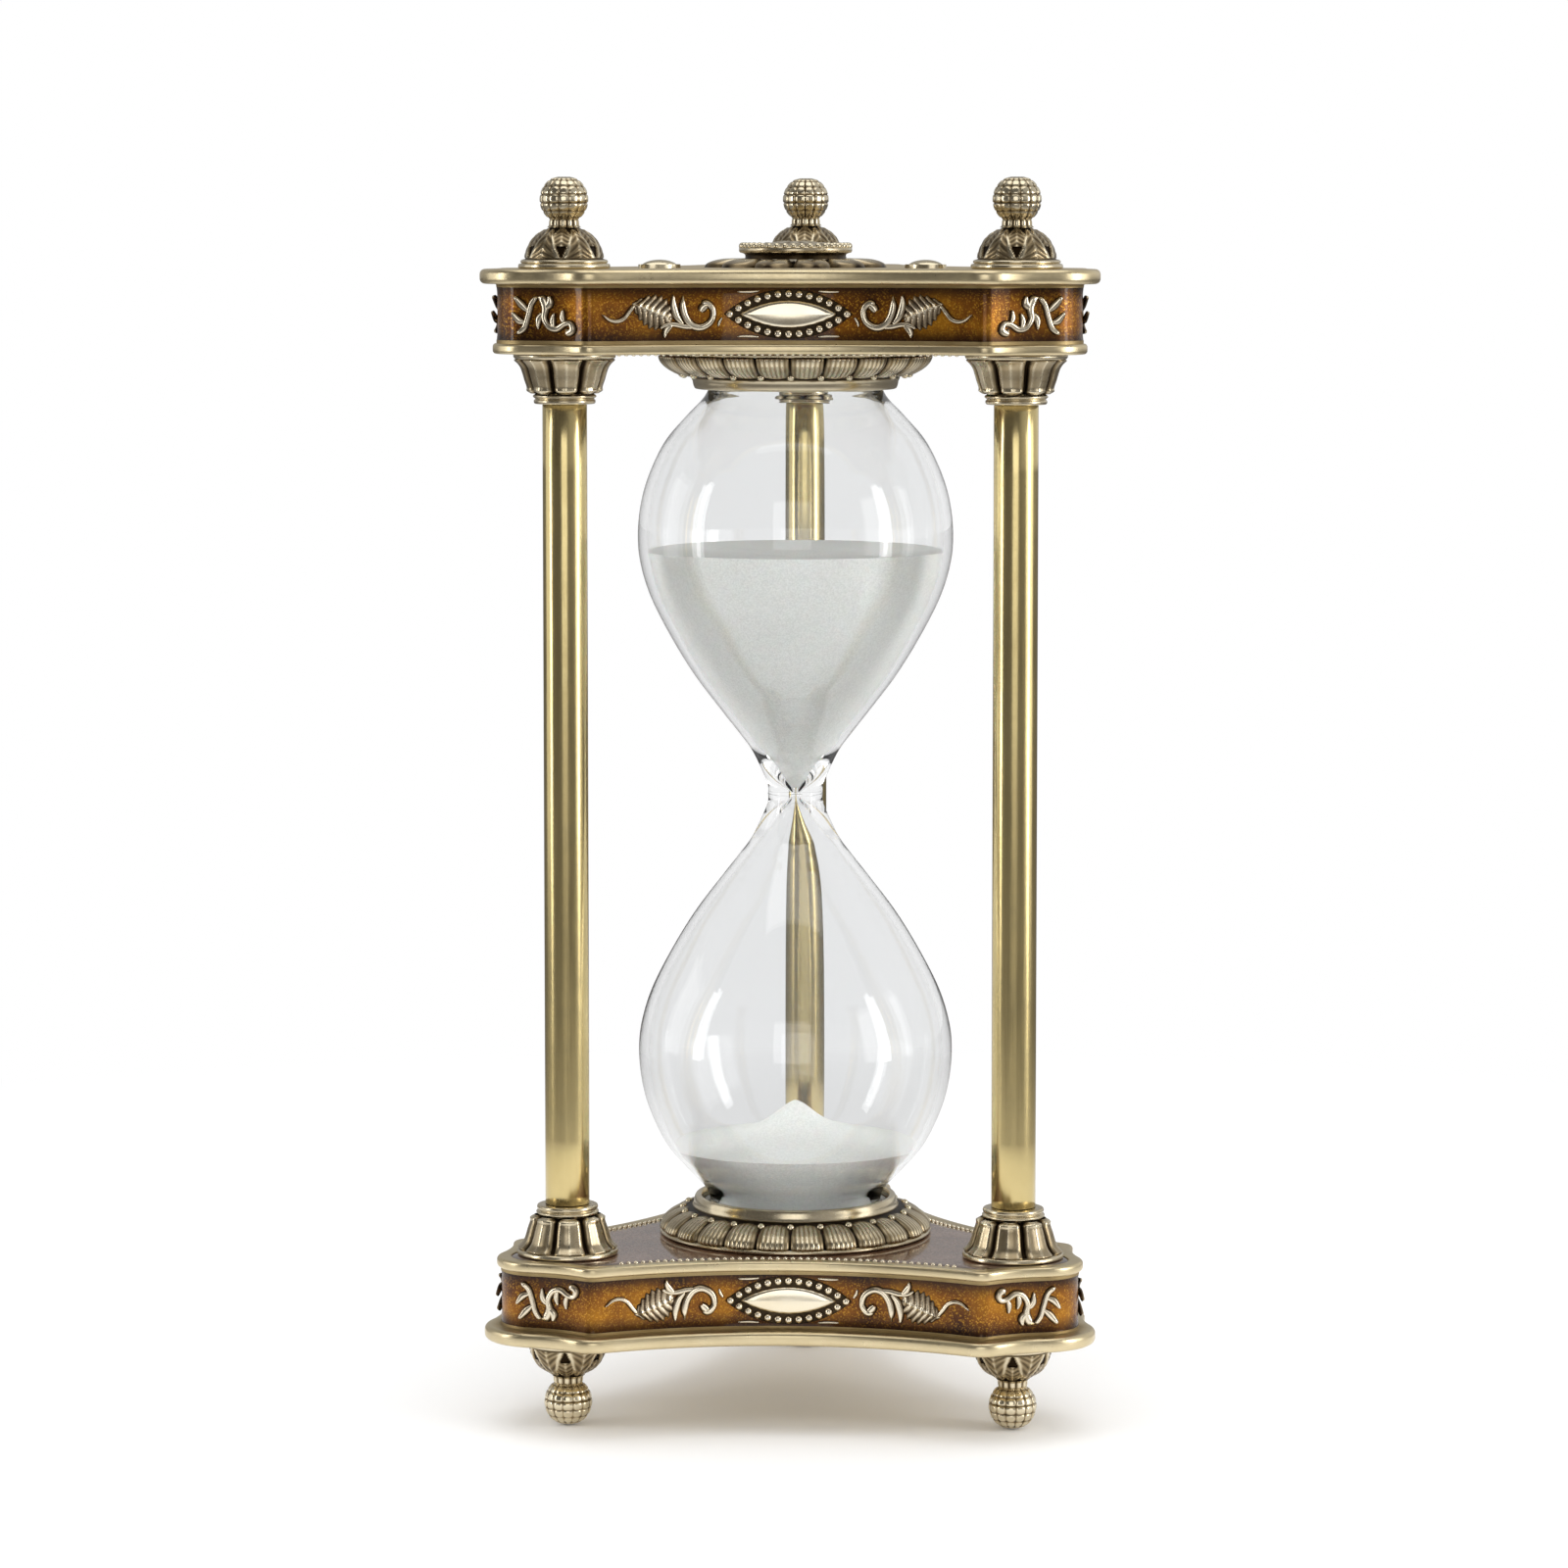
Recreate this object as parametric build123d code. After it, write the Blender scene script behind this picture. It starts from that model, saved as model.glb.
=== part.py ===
from build123d import *
import math
import os

# Ornamental three-column hourglass, in millimetres. The vertical axis of the glass is X = Y = 0,
# Z = 0 is the surface under the ball feet, and one concave side of the plates faces -Y.
# The upper half is the lower half turned over, so the object also stands on its finials.

# ---- driving dimensions ----
TOTAL_HEIGHT = 300.0
FOOT_HEIGHT = 22.0
PLATE_THICKNESS = 20.0
COLUMN_CIRCLE_RADIUS = 61.8
COLUMN_DIAMETER = 10.6
CAPITAL_HEIGHT = 12.0
GLASS_RADIUS = 38.3
NECK_RADIUS = 6.0
GLASS_WALL = 2.2
CUP_RADIUS = 33.2
CUP_HEIGHT = 9.3
ROD_DIAMETER = 5.0

# ---- plate details ----
WIDE_FLANGE = 3.5
NARROW_FLANGE = 2.5
WIDE_OVERHANG = 4.0
NARROW_OVERHANG = 1.0
WALL = 3.0
ENAMEL = 0.7
LIP = 0.8
BORDER = 3.0
TIP_RADIUS = 10.0
TIP_BEYOND_COLUMN = 6.6
TIP_HALF_ANGLE = 50.0
FLANK_RADIUS = 31.0
SIDE_BEYOND_CUP = 6.0
SHOULDER_HALF_WIDTH = 20.7
VERTEX_ROUND = 3.0

# ---- fits ----
ROD_CLEARANCE = 0.25
SOFT_GAP = 0.3
THREAD_ENGAGEMENT = FOOT_HEIGHT * 0.41

# ---- derived heights of the lower half; the upper half mirrors them about MID ----
MID = TOTAL_HEIGHT / 2
PLATE_BOTTOM = FOOT_HEIGHT
FLANGE_TOP = PLATE_BOTTOM + WIDE_FLANGE
PLATE_TOP = PLATE_BOTTOM + PLATE_THICKNESS
COVER_BOTTOM = PLATE_TOP - NARROW_FLANGE
BAND_HEIGHT = COVER_BOTTOM - FLANGE_TOP
BAND_MIDDLE = (COVER_BOTTOM + FLANGE_TOP) / 2
COLUMN_BOTTOM = PLATE_TOP + CAPITAL_HEIGHT
COLUMN_RADIUS = COLUMN_DIAMETER / 2
ROD_RADIUS = ROD_DIAMETER / 2
ROD_HOLE = ROD_RADIUS + ROD_CLEARANCE
BASE_RADIUS = COLUMN_RADIUS + 6.85
BOSS_RADIUS = ROD_HOLE + 5.25

# ---- glass seat ----
CUP_FLOOR = 2.0
PAD_THICKNESS = 1.2
SEAT_RADIUS = 21.0
GLASS_END = PLATE_TOP + CUP_FLOOR + PAD_THICKNESS
HALF_GLASS = MID - GLASS_END
LINER_GAP = 0.3

# ---- plan shape of the plates ----
SIDE_MIDDLE = CUP_RADIUS + SIDE_BEYOND_CUP
TIP_CENTRE = COLUMN_CIRCLE_RADIUS + TIP_BEYOND_COLUMN
FLANK_REACH = TIP_RADIUS + FLANK_RADIUS
FLANK_CENTRE = (
    TIP_CENTRE + FLANK_REACH * math.cos(math.radians(TIP_HALF_ANGLE)),
    FLANK_REACH * math.sin(math.radians(TIP_HALF_ANGLE)),
)
CORNERS = {"back": 90, "front_left": 210, "front_right": 330}
SIDES = {"front": 270, "right": 30, "left": 150}


def polar(radius, angle):
    """Point of the plan at a radius and an angle in degrees."""
    return (radius * math.cos(math.radians(angle)), radius * math.sin(math.radians(angle)))


def turned(point, angle):
    """A plan point turned about the axis."""
    return polar(math.hypot(*point), angle + math.degrees(math.atan2(point[1], point[0])))


def side_arc():
    """Centre distance, radius, half length and rise of the concave arc between two shoulders."""
    reach = FLANK_CENTRE[1] - SHOULDER_HALF_WIDTH
    shoulder = (FLANK_CENTRE[0] - math.sqrt(FLANK_RADIUS**2 - reach**2), SHOULDER_HALF_WIDTH)
    out, along = turned(shoulder, -60)
    rise = out - SIDE_MIDDLE
    radius = (along**2 + rise**2) / (2 * rise)
    return SIDE_MIDDLE + radius, radius, abs(along), rise


SIDE_CENTRE, SIDE_RADIUS, SIDE_REACH, SIDE_RISE = side_arc()


def meeting(centre_a, radius_a, centre_b, radius_b):
    """Meeting point of two circles that lies nearer to the axis."""
    dx, dy = centre_b[0] - centre_a[0], centre_b[1] - centre_a[1]
    gap = math.hypot(dx, dy)
    along = (radius_a**2 - radius_b**2 + gap**2) / (2 * gap)
    across = math.sqrt(radius_a**2 - along**2)
    middle = (centre_a[0] + along * dx / gap, centre_a[1] + along * dy / gap)
    ends = [
        (middle[0] - sign * across * dy / gap, middle[1] + sign * across * dx / gap)
        for sign in (1, -1)
    ]
    return min(ends, key=lambda end: math.hypot(*end))


def arc_middle(centre, radius, start, end):
    """Middle of the short arc between two points of a circle."""
    x = (start[0] + end[0]) / 2 - centre[0]
    y = (start[1] + end[1]) / 2 - centre[1]
    scale = radius / math.hypot(x, y)
    return (centre[0] + x * scale, centre[1] + y * scale)


def outline(out):
    """Plan face of a plate, its edge moved outward by out: three ogee corners, three concave sides."""
    edges = []
    vertices = []
    tip = polar(TIP_RADIUS + out, TIP_HALF_ANGLE)
    join = (TIP_CENTRE + tip[0], tip[1])
    side = polar(SIDE_CENTRE, 60)
    shoulder = meeting(FLANK_CENTRE, FLANK_RADIUS - out, side, SIDE_RADIUS - out)
    flank = arc_middle(FLANK_CENTRE, FLANK_RADIUS - out, join, shoulder)
    point = (TIP_CENTRE + TIP_RADIUS + out, 0)
    for angle in CORNERS.values():
        left = [turned(p, angle) for p in (shoulder, flank, join)]
        right = [turned((p[0], -p[1]), angle) for p in (shoulder, flank, join)]
        edges.append(ThreePointArc(*right))
        edges.append(ThreePointArc(right[-1], turned(point, angle), left[-1]))
        edges.append(ThreePointArc(*reversed(left)))
        side_middle = polar(SIDE_MIDDLE + out, angle + 60)
        next_shoulder = turned((shoulder[0], -shoulder[1]), angle + 120)
        edges.append(ThreePointArc(left[0], side_middle, next_shoulder))
        vertices += [left[0], right[0]]
    face = make_face(edges)
    corners = [
        v for v in face.vertices() if min(math.dist((v.X, v.Y), p) for p in vertices) < 0.01
    ]
    return fillet(corners, VERTEX_ROUND + out * 0.5)


def slab(out, bottom, top):
    """Plate of the plan shape between two heights."""
    return Pos(0, 0, bottom) * extrude(outline(out), amount=top - bottom)


def disc(radius, bottom, top, at=(0, 0)):
    """Upright cylinder between two heights."""
    return Pos(at[0], at[1], bottom) * extrude(Circle(radius), amount=top - bottom)


def turning(points):
    """Solid of revolution of a closed polygon given as (radius, height)."""
    wire = Polyline(*[(r, 0, z) for r, z in points], close=True)
    return revolve(make_face(wire), axis=Axis.Z, revolution_arc=360)


def turned_over(shape):
    """The same piece in the upper half."""
    return mirror(shape, about=Plane.XY.offset(MID))


def column_points():
    return [polar(COLUMN_CIRCLE_RADIUS, angle) for angle in CORNERS.values()]


PARTS = {}


def keep(name, *solids):
    """Registers a node; several solids make a group."""
    shape = solids[0] if len(solids) == 1 else Compound(children=list(solids))
    shape.label = name
    PARTS[name] = shape


def keep_pair(name, *solids):
    """Registers a piece of the lower half and its twin of the upper half."""
    keep("lower_" + name, *solids)
    keep("upper_" + name, *[turned_over(solid) for solid in solids])


# ---- plates ----
def tray():
    """Hollow casting: wide flange, band wall and a boss round each rod."""
    flange = slab(WIDE_OVERHANG, PLATE_BOTTOM, FLANGE_TOP)
    faces = flange.edges().group_by(Axis.Z)
    flange = chamfer(faces[0] + faces[-1], WIDE_FLANGE * 0.2)
    body = flange + slab(-ENAMEL, FLANGE_TOP, COVER_BOTTOM)
    body += slab(0, FLANGE_TOP, FLANGE_TOP + LIP)
    body += slab(0, COVER_BOTTOM - LIP, COVER_BOTTOM)
    body -= slab(-ENAMEL - WALL, FLANGE_TOP, COVER_BOTTOM)
    for point in column_points():
        body += disc(BOSS_RADIUS, FLANGE_TOP, COVER_BOTTOM, point)
        body -= disc(ROD_HOLE, PLATE_BOTTOM, COVER_BOTTOM, point)
    return body


def band_enamel():
    """Ring of translucent enamel poured in the groove of the band."""
    ring = slab(0, FLANGE_TOP + LIP, COVER_BOTTOM - LIP)
    return ring - slab(-ENAMEL, FLANGE_TOP + LIP, COVER_BOTTOM - LIP)


def cover():
    """Inner cover with the narrow flange, an enamel recess, rod holes and screw holes."""
    body = slab(NARROW_OVERHANG, COVER_BOTTOM, PLATE_TOP)
    body = chamfer(body.edges().group_by(Axis.Z)[-1], NARROW_FLANGE * 0.24)
    body -= slab(-BORDER, PLATE_TOP - ENAMEL, PLATE_TOP)
    body += disc(CUP_RADIUS, PLATE_TOP - ENAMEL, PLATE_TOP)
    for point in column_points():
        body += disc(BASE_RADIUS, PLATE_TOP - ENAMEL, PLATE_TOP, point)
        body -= disc(ROD_HOLE, COVER_BOTTOM, PLATE_TOP, point)
    for angle in SIDES.values():
        body -= disc(SCREW_RADIUS, COVER_BOTTOM, PLATE_TOP, polar(SCREW_CIRCLE, angle))
    return body


def face_enamel():
    """Enamel sheet of the inner face, cut round the cup and the column bases."""
    sheet = slab(-BORDER, PLATE_TOP - ENAMEL, PLATE_TOP)
    sheet -= disc(CUP_RADIUS, PLATE_TOP - ENAMEL, PLATE_TOP)
    for point in column_points():
        sheet -= disc(BASE_RADIUS, PLATE_TOP - ENAMEL, PLATE_TOP, point)
    return sheet


# ---- cup ----
SCREW_RADIUS = 1.5
SCREW_HOLE = SCREW_RADIUS * 0.9
SCREW_CIRCLE = CUP_RADIUS - 6.2
LOBES = 24
CUP_BEAD = 0.95
SCREW_REACH = 3.0
RIM_RADIUS = CUP_RADIUS - 8.6
BORE_RADIUS = SEAT_RADIUS + LINER_GAP + PAD_THICKNESS


def cup():
    """Round socket of the glass: convex ring of scallop lobes, beads between their tips, plain rim."""
    z = PLATE_TOP
    unit = CUP_HEIGHT / 9.3
    ovolo = [(0.0, 1.2), (0.2, 1.6), (1.0, 3.0), (2.6, 4.4), (4.8, 5.6), (6.6, 6.2), (8.0, 6.8)]
    body = turning(
        [(0, z), (CUP_RADIUS, z)]
        + [(CUP_RADIUS - inward, z + rise * unit) for inward, rise in ovolo]
        + [(RIM_RADIUS, z + CUP_HEIGHT), (BORE_RADIUS, z + CUP_HEIGHT)]
        + [(BORE_RADIUS, z + CUP_FLOOR), (0, z + CUP_FLOOR)]
    )
    groove = Pos(CUP_RADIUS - 2.6, 0, z + 4.8 * unit) * Rot(0, -56, 0) * Cylinder(0.6, 8.0)
    bead = Pos(CUP_RADIUS - 6.2, 0, z + 6.3 * unit) * Sphere(CUP_BEAD)
    turns = [Rot(0, 0, (k + 0.5) * 360 / LOBES) for k in range(LOBES)]
    body -= [turn * groove for turn in turns]
    body += [turn * bead for turn in turns]
    for angle in SIDES.values():
        body -= disc(SCREW_HOLE, z, z + SCREW_REACH + 0.5, polar(SCREW_CIRCLE, angle))
    return body


def cup_screw(angle):
    """Screw driven through the cover into the foot of the cup, head inside the plate."""
    at = polar(SCREW_CIRCLE, angle)
    under_head = COVER_BOTTOM - SCREW_RADIUS
    shank = disc(SCREW_HOLE, COVER_BOTTOM, PLATE_TOP + SCREW_REACH, at)
    head = disc(SCREW_RADIUS * 1.9, under_head, COVER_BOTTOM, at)
    slot = Pos(at[0], at[1], under_head) * Box(SCREW_RADIUS * 4, 0.8, SCREW_RADIUS)
    return shank + head - slot


def glass_pad():
    """Soft pad under the closed end of the glass, with a collar up its side."""
    floor = PLATE_TOP + CUP_FLOOR
    top = PLATE_TOP + CUP_HEIGHT * 0.8
    return disc(BORE_RADIUS, floor, top) - disc(SEAT_RADIUS + LINER_GAP, GLASS_END, top)


# ---- glass and sand ----
SEAT_RISE = CUP_HEIGHT * 0.56
BELLY_RISE = HALF_GLASS * 0.4
THROAT_RADIUS = NECK_RADIUS * 1.7
THROAT_DROP = HALF_GLASS * 0.095
BORE_AT_NECK = NECK_RADIUS * 0.2
SLOPE_RADIUS = GLASS_RADIUS * 0.46
SLOPE_RISE = HALF_GLASS * 0.81


def half_section(inset, neck, closed_at):
    """Half section of the lower bulb, from the waist down to its closed end, moved inward by inset."""
    waist = (neck, MID)
    throat = (THROAT_RADIUS - inset, MID - THROAT_DROP)
    slope = (SLOPE_RADIUS - inset, GLASS_END + SLOPE_RISE)
    flank = (GLASS_RADIUS * 0.79 - inset, GLASS_END + HALF_GLASS * 0.634)
    belly = (GLASS_RADIUS - inset, GLASS_END + BELLY_RISE)
    lower = (GLASS_RADIUS * 0.9 - inset, GLASS_END + HALF_GLASS * 0.225)
    root = (SEAT_RADIUS + 0.9 - inset, GLASS_END + SEAT_RISE + 2.8)
    seat = (SEAT_RADIUS - inset, GLASS_END + SEAT_RISE)
    point = lambda p: Vector(p[0], 0, p[1])
    down = Vector(0, 0, -1)
    upper = Spline([point(p) for p in (waist, throat, slope, flank, belly)], tangents=[down, down])
    under = Spline([point(p) for p in (belly, lower, root, seat)], tangents=[down, down])
    floor = (SEAT_RADIUS - inset, closed_at)
    closing = Polyline(
        point(seat), point(floor), point((0, closed_at)), point((0, MID)), point(waist)
    )
    return make_face([upper, under, closing])


def bulb_half(inset, neck, closed_at):
    return revolve(half_section(inset, neck, closed_at), axis=Axis.Z, revolution_arc=360)


def glass():
    """One blown body: two bulbs joined at a thick waist, closed at both ends."""
    lower = bulb_half(0, NECK_RADIUS, GLASS_END)
    lower -= bulb_half(GLASS_WALL, BORE_AT_NECK, GLASS_END + GLASS_WALL)
    bead = Pos(0, 0, MID) * Torus(NECK_RADIUS * 0.9, NECK_RADIUS * 0.25)
    bead -= disc(NECK_RADIUS * 0.87, MID - NECK_RADIUS, MID + NECK_RADIUS)
    bore = disc(BORE_AT_NECK, MID - NECK_RADIUS / 2, MID + NECK_RADIUS / 2)
    plug_hole = disc(PLUG_RADIUS, GLASS_END, GLASS_END + GLASS_WALL)
    return lower + turned_over(lower) + bead - bore - plug_hole


SAND_LEVEL = MID + HALF_GLASS * 0.57
SAND_DISH = 1.2
HEAP_EDGE = GLASS_END + HALF_GLASS * 0.185
HEAP_RISE = 10.0
PLUG_RADIUS = 2.4
PLUG_HEAD = 1.2


def cavity():
    """Space inside the lower bulb that sand may fill, a little clear of the glass."""
    inset = GLASS_WALL + SOFT_GAP
    return bulb_half(inset, BORE_AT_NECK - SOFT_GAP, GLASS_END + inset)


def upper_sand():
    """Sand still above the neck, its surface slightly dished."""
    space = turned_over(cavity())
    fill = turning([
        (0, MID + BORE_AT_NECK), (GLASS_RADIUS, MID + BORE_AT_NECK), (GLASS_RADIUS, SAND_LEVEL),
        (GLASS_RADIUS * 0.75, SAND_LEVEL - SAND_DISH * 0.4), (0, SAND_LEVEL - SAND_DISH),
    ])
    return space & fill


def lower_sand():
    """Heap of fallen sand: a gentle slope with a small cone under the neck."""
    fill = turning([
        (0, GLASS_END), (GLASS_RADIUS, GLASS_END), (GLASS_RADIUS, HEAP_EDGE - HEAP_RISE * 0.1),
        (GLASS_RADIUS * 0.86, HEAP_EDGE), (GLASS_RADIUS * 0.4, HEAP_EDGE + HEAP_RISE * 0.46),
        (GLASS_RADIUS * 0.13, HEAP_EDGE + HEAP_RISE * 0.88), (0, HEAP_EDGE + HEAP_RISE),
    ])
    inside = GLASS_END + GLASS_WALL
    plug_room = disc(PLUG_RADIUS + 1.0, GLASS_END, inside + PLUG_HEAD * 2)
    return (cavity() & fill) - plug_room


def fill_plug():
    """Rubber plug that closes the filling hole in the end of the glass."""
    inside = GLASS_END + GLASS_WALL
    return disc(PLUG_RADIUS, GLASS_END, inside) + disc(PLUG_RADIUS + 0.7, inside, inside + PLUG_HEAD)


# ---- columns ----
TUBE_WALL = 1.2
PETALS = 8


def column(point):
    """Plain tube between the base and the capital."""
    top = TOTAL_HEIGHT - COLUMN_BOTTOM
    tube = disc(COLUMN_RADIUS, COLUMN_BOTTOM, top, point)
    return tube - disc(COLUMN_RADIUS - TUBE_WALL, COLUMN_BOTTOM, top, point)


def tie_rod(point):
    """Rod through plate, base, tube, capital and plate, threaded in the foot and the finial."""
    end = PLATE_BOTTOM - THREAD_ENGAGEMENT
    return disc(ROD_RADIUS, end, TOTAL_HEIGHT - end, point)


def column_base():
    """Base of a column: stepped ring on the plate, eight broad petals, collar round the tube."""
    wide = BASE_RADIUS
    collar = COLUMN_RADIUS + 2.2
    unit = CAPITAL_HEIGHT / 12
    profile = [
        (ROD_HOLE, 0), (wide, 0), (wide, 1.2), (wide - 0.8, 1.8), (wide - 1.9, 2.6),
        (wide - 2.6, 4.2), (wide - 3.2, 6.2), (wide - 3.9, 8.2), (wide - 4.4, 9.6),
        (collar, 9.6), (collar, 10.4), (collar - 0.5, 12), (ROD_HOLE, 12),
    ]
    body = turning([(radius, PLATE_TOP + height * unit) for radius, height in profile])
    flute = Pos(wide - 2.35, 0, PLATE_TOP + 5.9 * unit) * Rot(0, -13, 0) * Cylinder(0.9, 7.6 * unit)
    return body - [Rot(0, 0, k * 360 / PETALS) * flute for k in range(PETALS)]


def foot():
    """Ball on a fluted neck under a petalled dome, bored for the rod. Z = 0 is its tip."""
    unit = FOOT_HEIGHT / 22
    ball = 5.8 * unit
    rest = 1.5 * unit
    centre = math.sqrt(ball**2 - rest**2)
    profile = [
        (0, 9.5), (3.8, 9.5), (3.8, 12.3), (4.8, 12.9), (6.1, 13.8), (7.25, 14.8), (8.45, 16.6),
        (9.0, 18.5), (9.25, 19.4), (9.6, 19.9), (10.4, 20.3), (10.9, 21.0), (10.9, 22), (0, 22),
    ]
    body = turning([(radius * unit, height * unit) for radius, height in profile])
    body += Pos(0, 0, centre) * Sphere(ball) - disc(ball, -ball, 0)
    flute = Pos(8.9 * unit, 0, 16.4 * unit) * Rot(0, -24, 0) * Cylinder(0.55 * unit, 5.6 * unit)
    body -= [Rot(0, 0, k * 360 / PETALS) * flute for k in range(PETALS)]
    return body - disc(ROD_RADIUS, FOOT_HEIGHT - THREAD_ENGAGEMENT, FOOT_HEIGHT)


# ---- ornaments of the outer face, hanging below the plate in the lower half ----
MEDALLION_RADIUS = 13.7
ROSETTE_RADIUS = 22.6
ROSETTE_RISE = 2.0
ROSETTE_PETALS = 12
CABOCHON_CIRCLE = (ROSETTE_RADIUS + COLUMN_CIRCLE_RADIUS - FOOT_HEIGHT / 2) / 2
RIM_BEADS = 40
RIM_BEAD = 0.9


def rosette():
    """Ring of twelve petals that the medallion sits on."""
    petal = Pos(ROSETTE_RADIUS - 6.0, 0) * Ellipse(6.0, 4.2)
    turns = [Rot(0, 0, k * 360 / ROSETTE_PETALS) for k in range(ROSETTE_PETALS)]
    plan = Circle(ROSETTE_RADIUS - 5.0) + [turn * petal for turn in turns]
    return Pos(0, 0, PLATE_BOTTOM - ROSETTE_RISE) * extrude(plan, amount=ROSETTE_RISE)


def medallion():
    """Stepped boss with a beaded rim."""
    seat = PLATE_BOTTOM - ROSETTE_RISE
    wide = MEDALLION_RADIUS
    profile = [
        (0, 0), (wide - 1.6, 0), (wide - 1.6, 0.8), (wide, 0.8), (wide, 2.4), (wide - 1.8, 3.2),
        (wide - 5.0, 3.2), (wide - 7.0, 4.2), (0, 4.4),
    ]
    body = turning([(radius, seat - drop) for radius, drop in profile])
    bead = Pos(wide - 0.8, 0, seat - 2.5) * Sphere(RIM_BEAD)
    return body + [Rot(0, 0, k * 360 / RIM_BEADS) * bead for k in range(RIM_BEADS)]


def face_cabochon(angle):
    """Low oval dome between the rosette and a corner."""
    sole = Ellipse(5.4, 3.6)
    middle = Pos(0, 0, -1.1) * Ellipse(4.7, 3.0)
    crown = Pos(0, 0, -2.0) * Ellipse(2.6, 1.4)
    at = polar(CABOCHON_CIRCLE, angle)
    return Pos(*at, PLATE_BOTTOM) * Rot(0, 0, angle) * loft([sole, middle, crown])


# ---- ornaments of the band; along and high fit them to the length and height of a side ----
ALONG = SIDE_REACH / 46.5
HIGH = (COVER_BOTTOM - FLANGE_TOP) / 14
BEADS = 24
BEAD_RADIUS = 0.85 * min(ALONG, HIGH)
FRAME_HALF = (13.9 * ALONG, 4.75 * HIGH)
GROUND_MARGIN = 1.1 * min(ALONG, HIGH)
MARQUISE_HALF = (11.0 * ALONG, 3.15 * HIGH)
FRAME_THICKNESS = 0.6
STONE_STEP = 0.5
SCROLL_THICKNESS = 0.9


def lens(half_length, half_height):
    """Pointed oval face in the local plane: two arcs."""
    ends = ((-half_length, 0), (half_length, 0))
    upper = ThreePointArc(ends[0], (0, half_height), ends[1])
    lower = ThreePointArc(ends[1], (0, -half_height), ends[0])
    return make_face([upper, lower])


def side_layer(shape, angle, inner, outer):
    """Bends a sketch round one concave side: a layer that stands between two heights off the band."""
    plane = Plane(origin=(0, -SIDE_MIDDLE, BAND_MIDDLE), x_dir=(1, 0, 0), z_dir=(0, -1, 0))
    block = extrude(plane * shape, amount=SIDE_RISE + WIDE_OVERHANG, both=True)
    centre = (0, -SIDE_CENTRE)
    ring = disc(SIDE_RADIUS - inner, FLANGE_TOP, COVER_BOTTOM, centre)
    ring -= disc(SIDE_RADIUS - outer, FLANGE_TOP, COVER_BOTTOM, centre)
    return Rot(0, 0, angle - 270) * (block & ring)


def side_cabochon(angle):
    """Polished pointed oval, stepped to a crown."""
    half, height = MARQUISE_HALF
    step = FRAME_THICKNESS + STONE_STEP
    stone = side_layer(lens(half, height), angle, FRAME_THICKNESS, step)
    return stone + side_layer(lens(half * 0.88, height * 0.8), angle, step, step + STONE_STEP)


def on_side(along, height, out, angle):
    """Place on a concave side, measured along it, up from the band middle and off the band."""
    swing = along / SIDE_RADIUS
    radius = SIDE_RADIUS - out
    at = (radius * math.sin(swing), radius * math.cos(swing) - SIDE_CENTRE)
    return Pos(*turned(at, angle - 270), BAND_MIDDLE + height) * Rot(0, 0, angle)


def bead_frame(angle):
    """Pointed oval ground plate with a border of beads round the cabochon, one bead at each point."""
    half, height = FRAME_HALF
    plan = lens(half + GROUND_MARGIN, height + GROUND_MARGIN)
    body = side_layer(plan, angle, 0, FRAME_THICKNESS)
    dome = Sphere(BEAD_RADIUS, arc_size1=0, align=(Align.CENTER, Align.CENTER, Align.MIN))
    dome = Rot(0, 90, 0) * dome
    for edge in lens(half, height).edges():
        for k in range(BEADS // 2):
            spot = edge @ (k * 2 / BEADS)
            body += on_side(spot.X, spot.Y, FRAME_THICKNESS * 0.8, angle) * dome
    return body


def ribbon(points, width):
    """Flat band of constant width along a smooth line, with round ends."""
    fitted = [(x * ALONG, y * HIGH) for x, y in points]
    body = trace(Spline(*fitted), line_width=width)
    return body + Pos(*fitted[0]) * Circle(width / 2) + Pos(*fitted[-1]) * Circle(width / 2)


def leaf_scroll():
    """Right-hand scroll of a side: curl, stem, two feathers, pointed leaf and thin tail, in one face."""
    curl = ribbon([(19.8, -2.3), (18.0, -1.0), (18.5, 1.6), (20.9, 2.6), (25.0, 2.4), (28.8, 2.4)], 1.3)
    feathers = ribbon([(22.4, 2.6), (24.4, 0.4), (25.0, -4.0)], 1.2)
    feathers += ribbon([(25.0, 2.4), (26.8, 0.0), (27.3, -4.4)], 1.2)
    leaf = Pos(32.4 * ALONG, -0.6 * HIGH) * Rot(0, 0, -20) * lens(5.2 * ALONG, 2.9 * HIGH)
    tail = ribbon([(36.6, -2.2), (38.6, 0.4), (41.0, 1.6), (44.4, 0.1)], 0.8)
    spur = ribbon([(28.4, 2.6), (29.3, 4.6)], 0.9)
    return curl + feathers + leaf + tail + spur


def side_scrolls(angle):
    """The pair of leaf scrolls left and right of the bead frame."""
    right = leaf_scroll()
    faces = (right, mirror(right, about=Plane.YZ))
    return [side_layer(face, angle, 0, SCROLL_THICKNESS) for face in faces]


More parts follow.
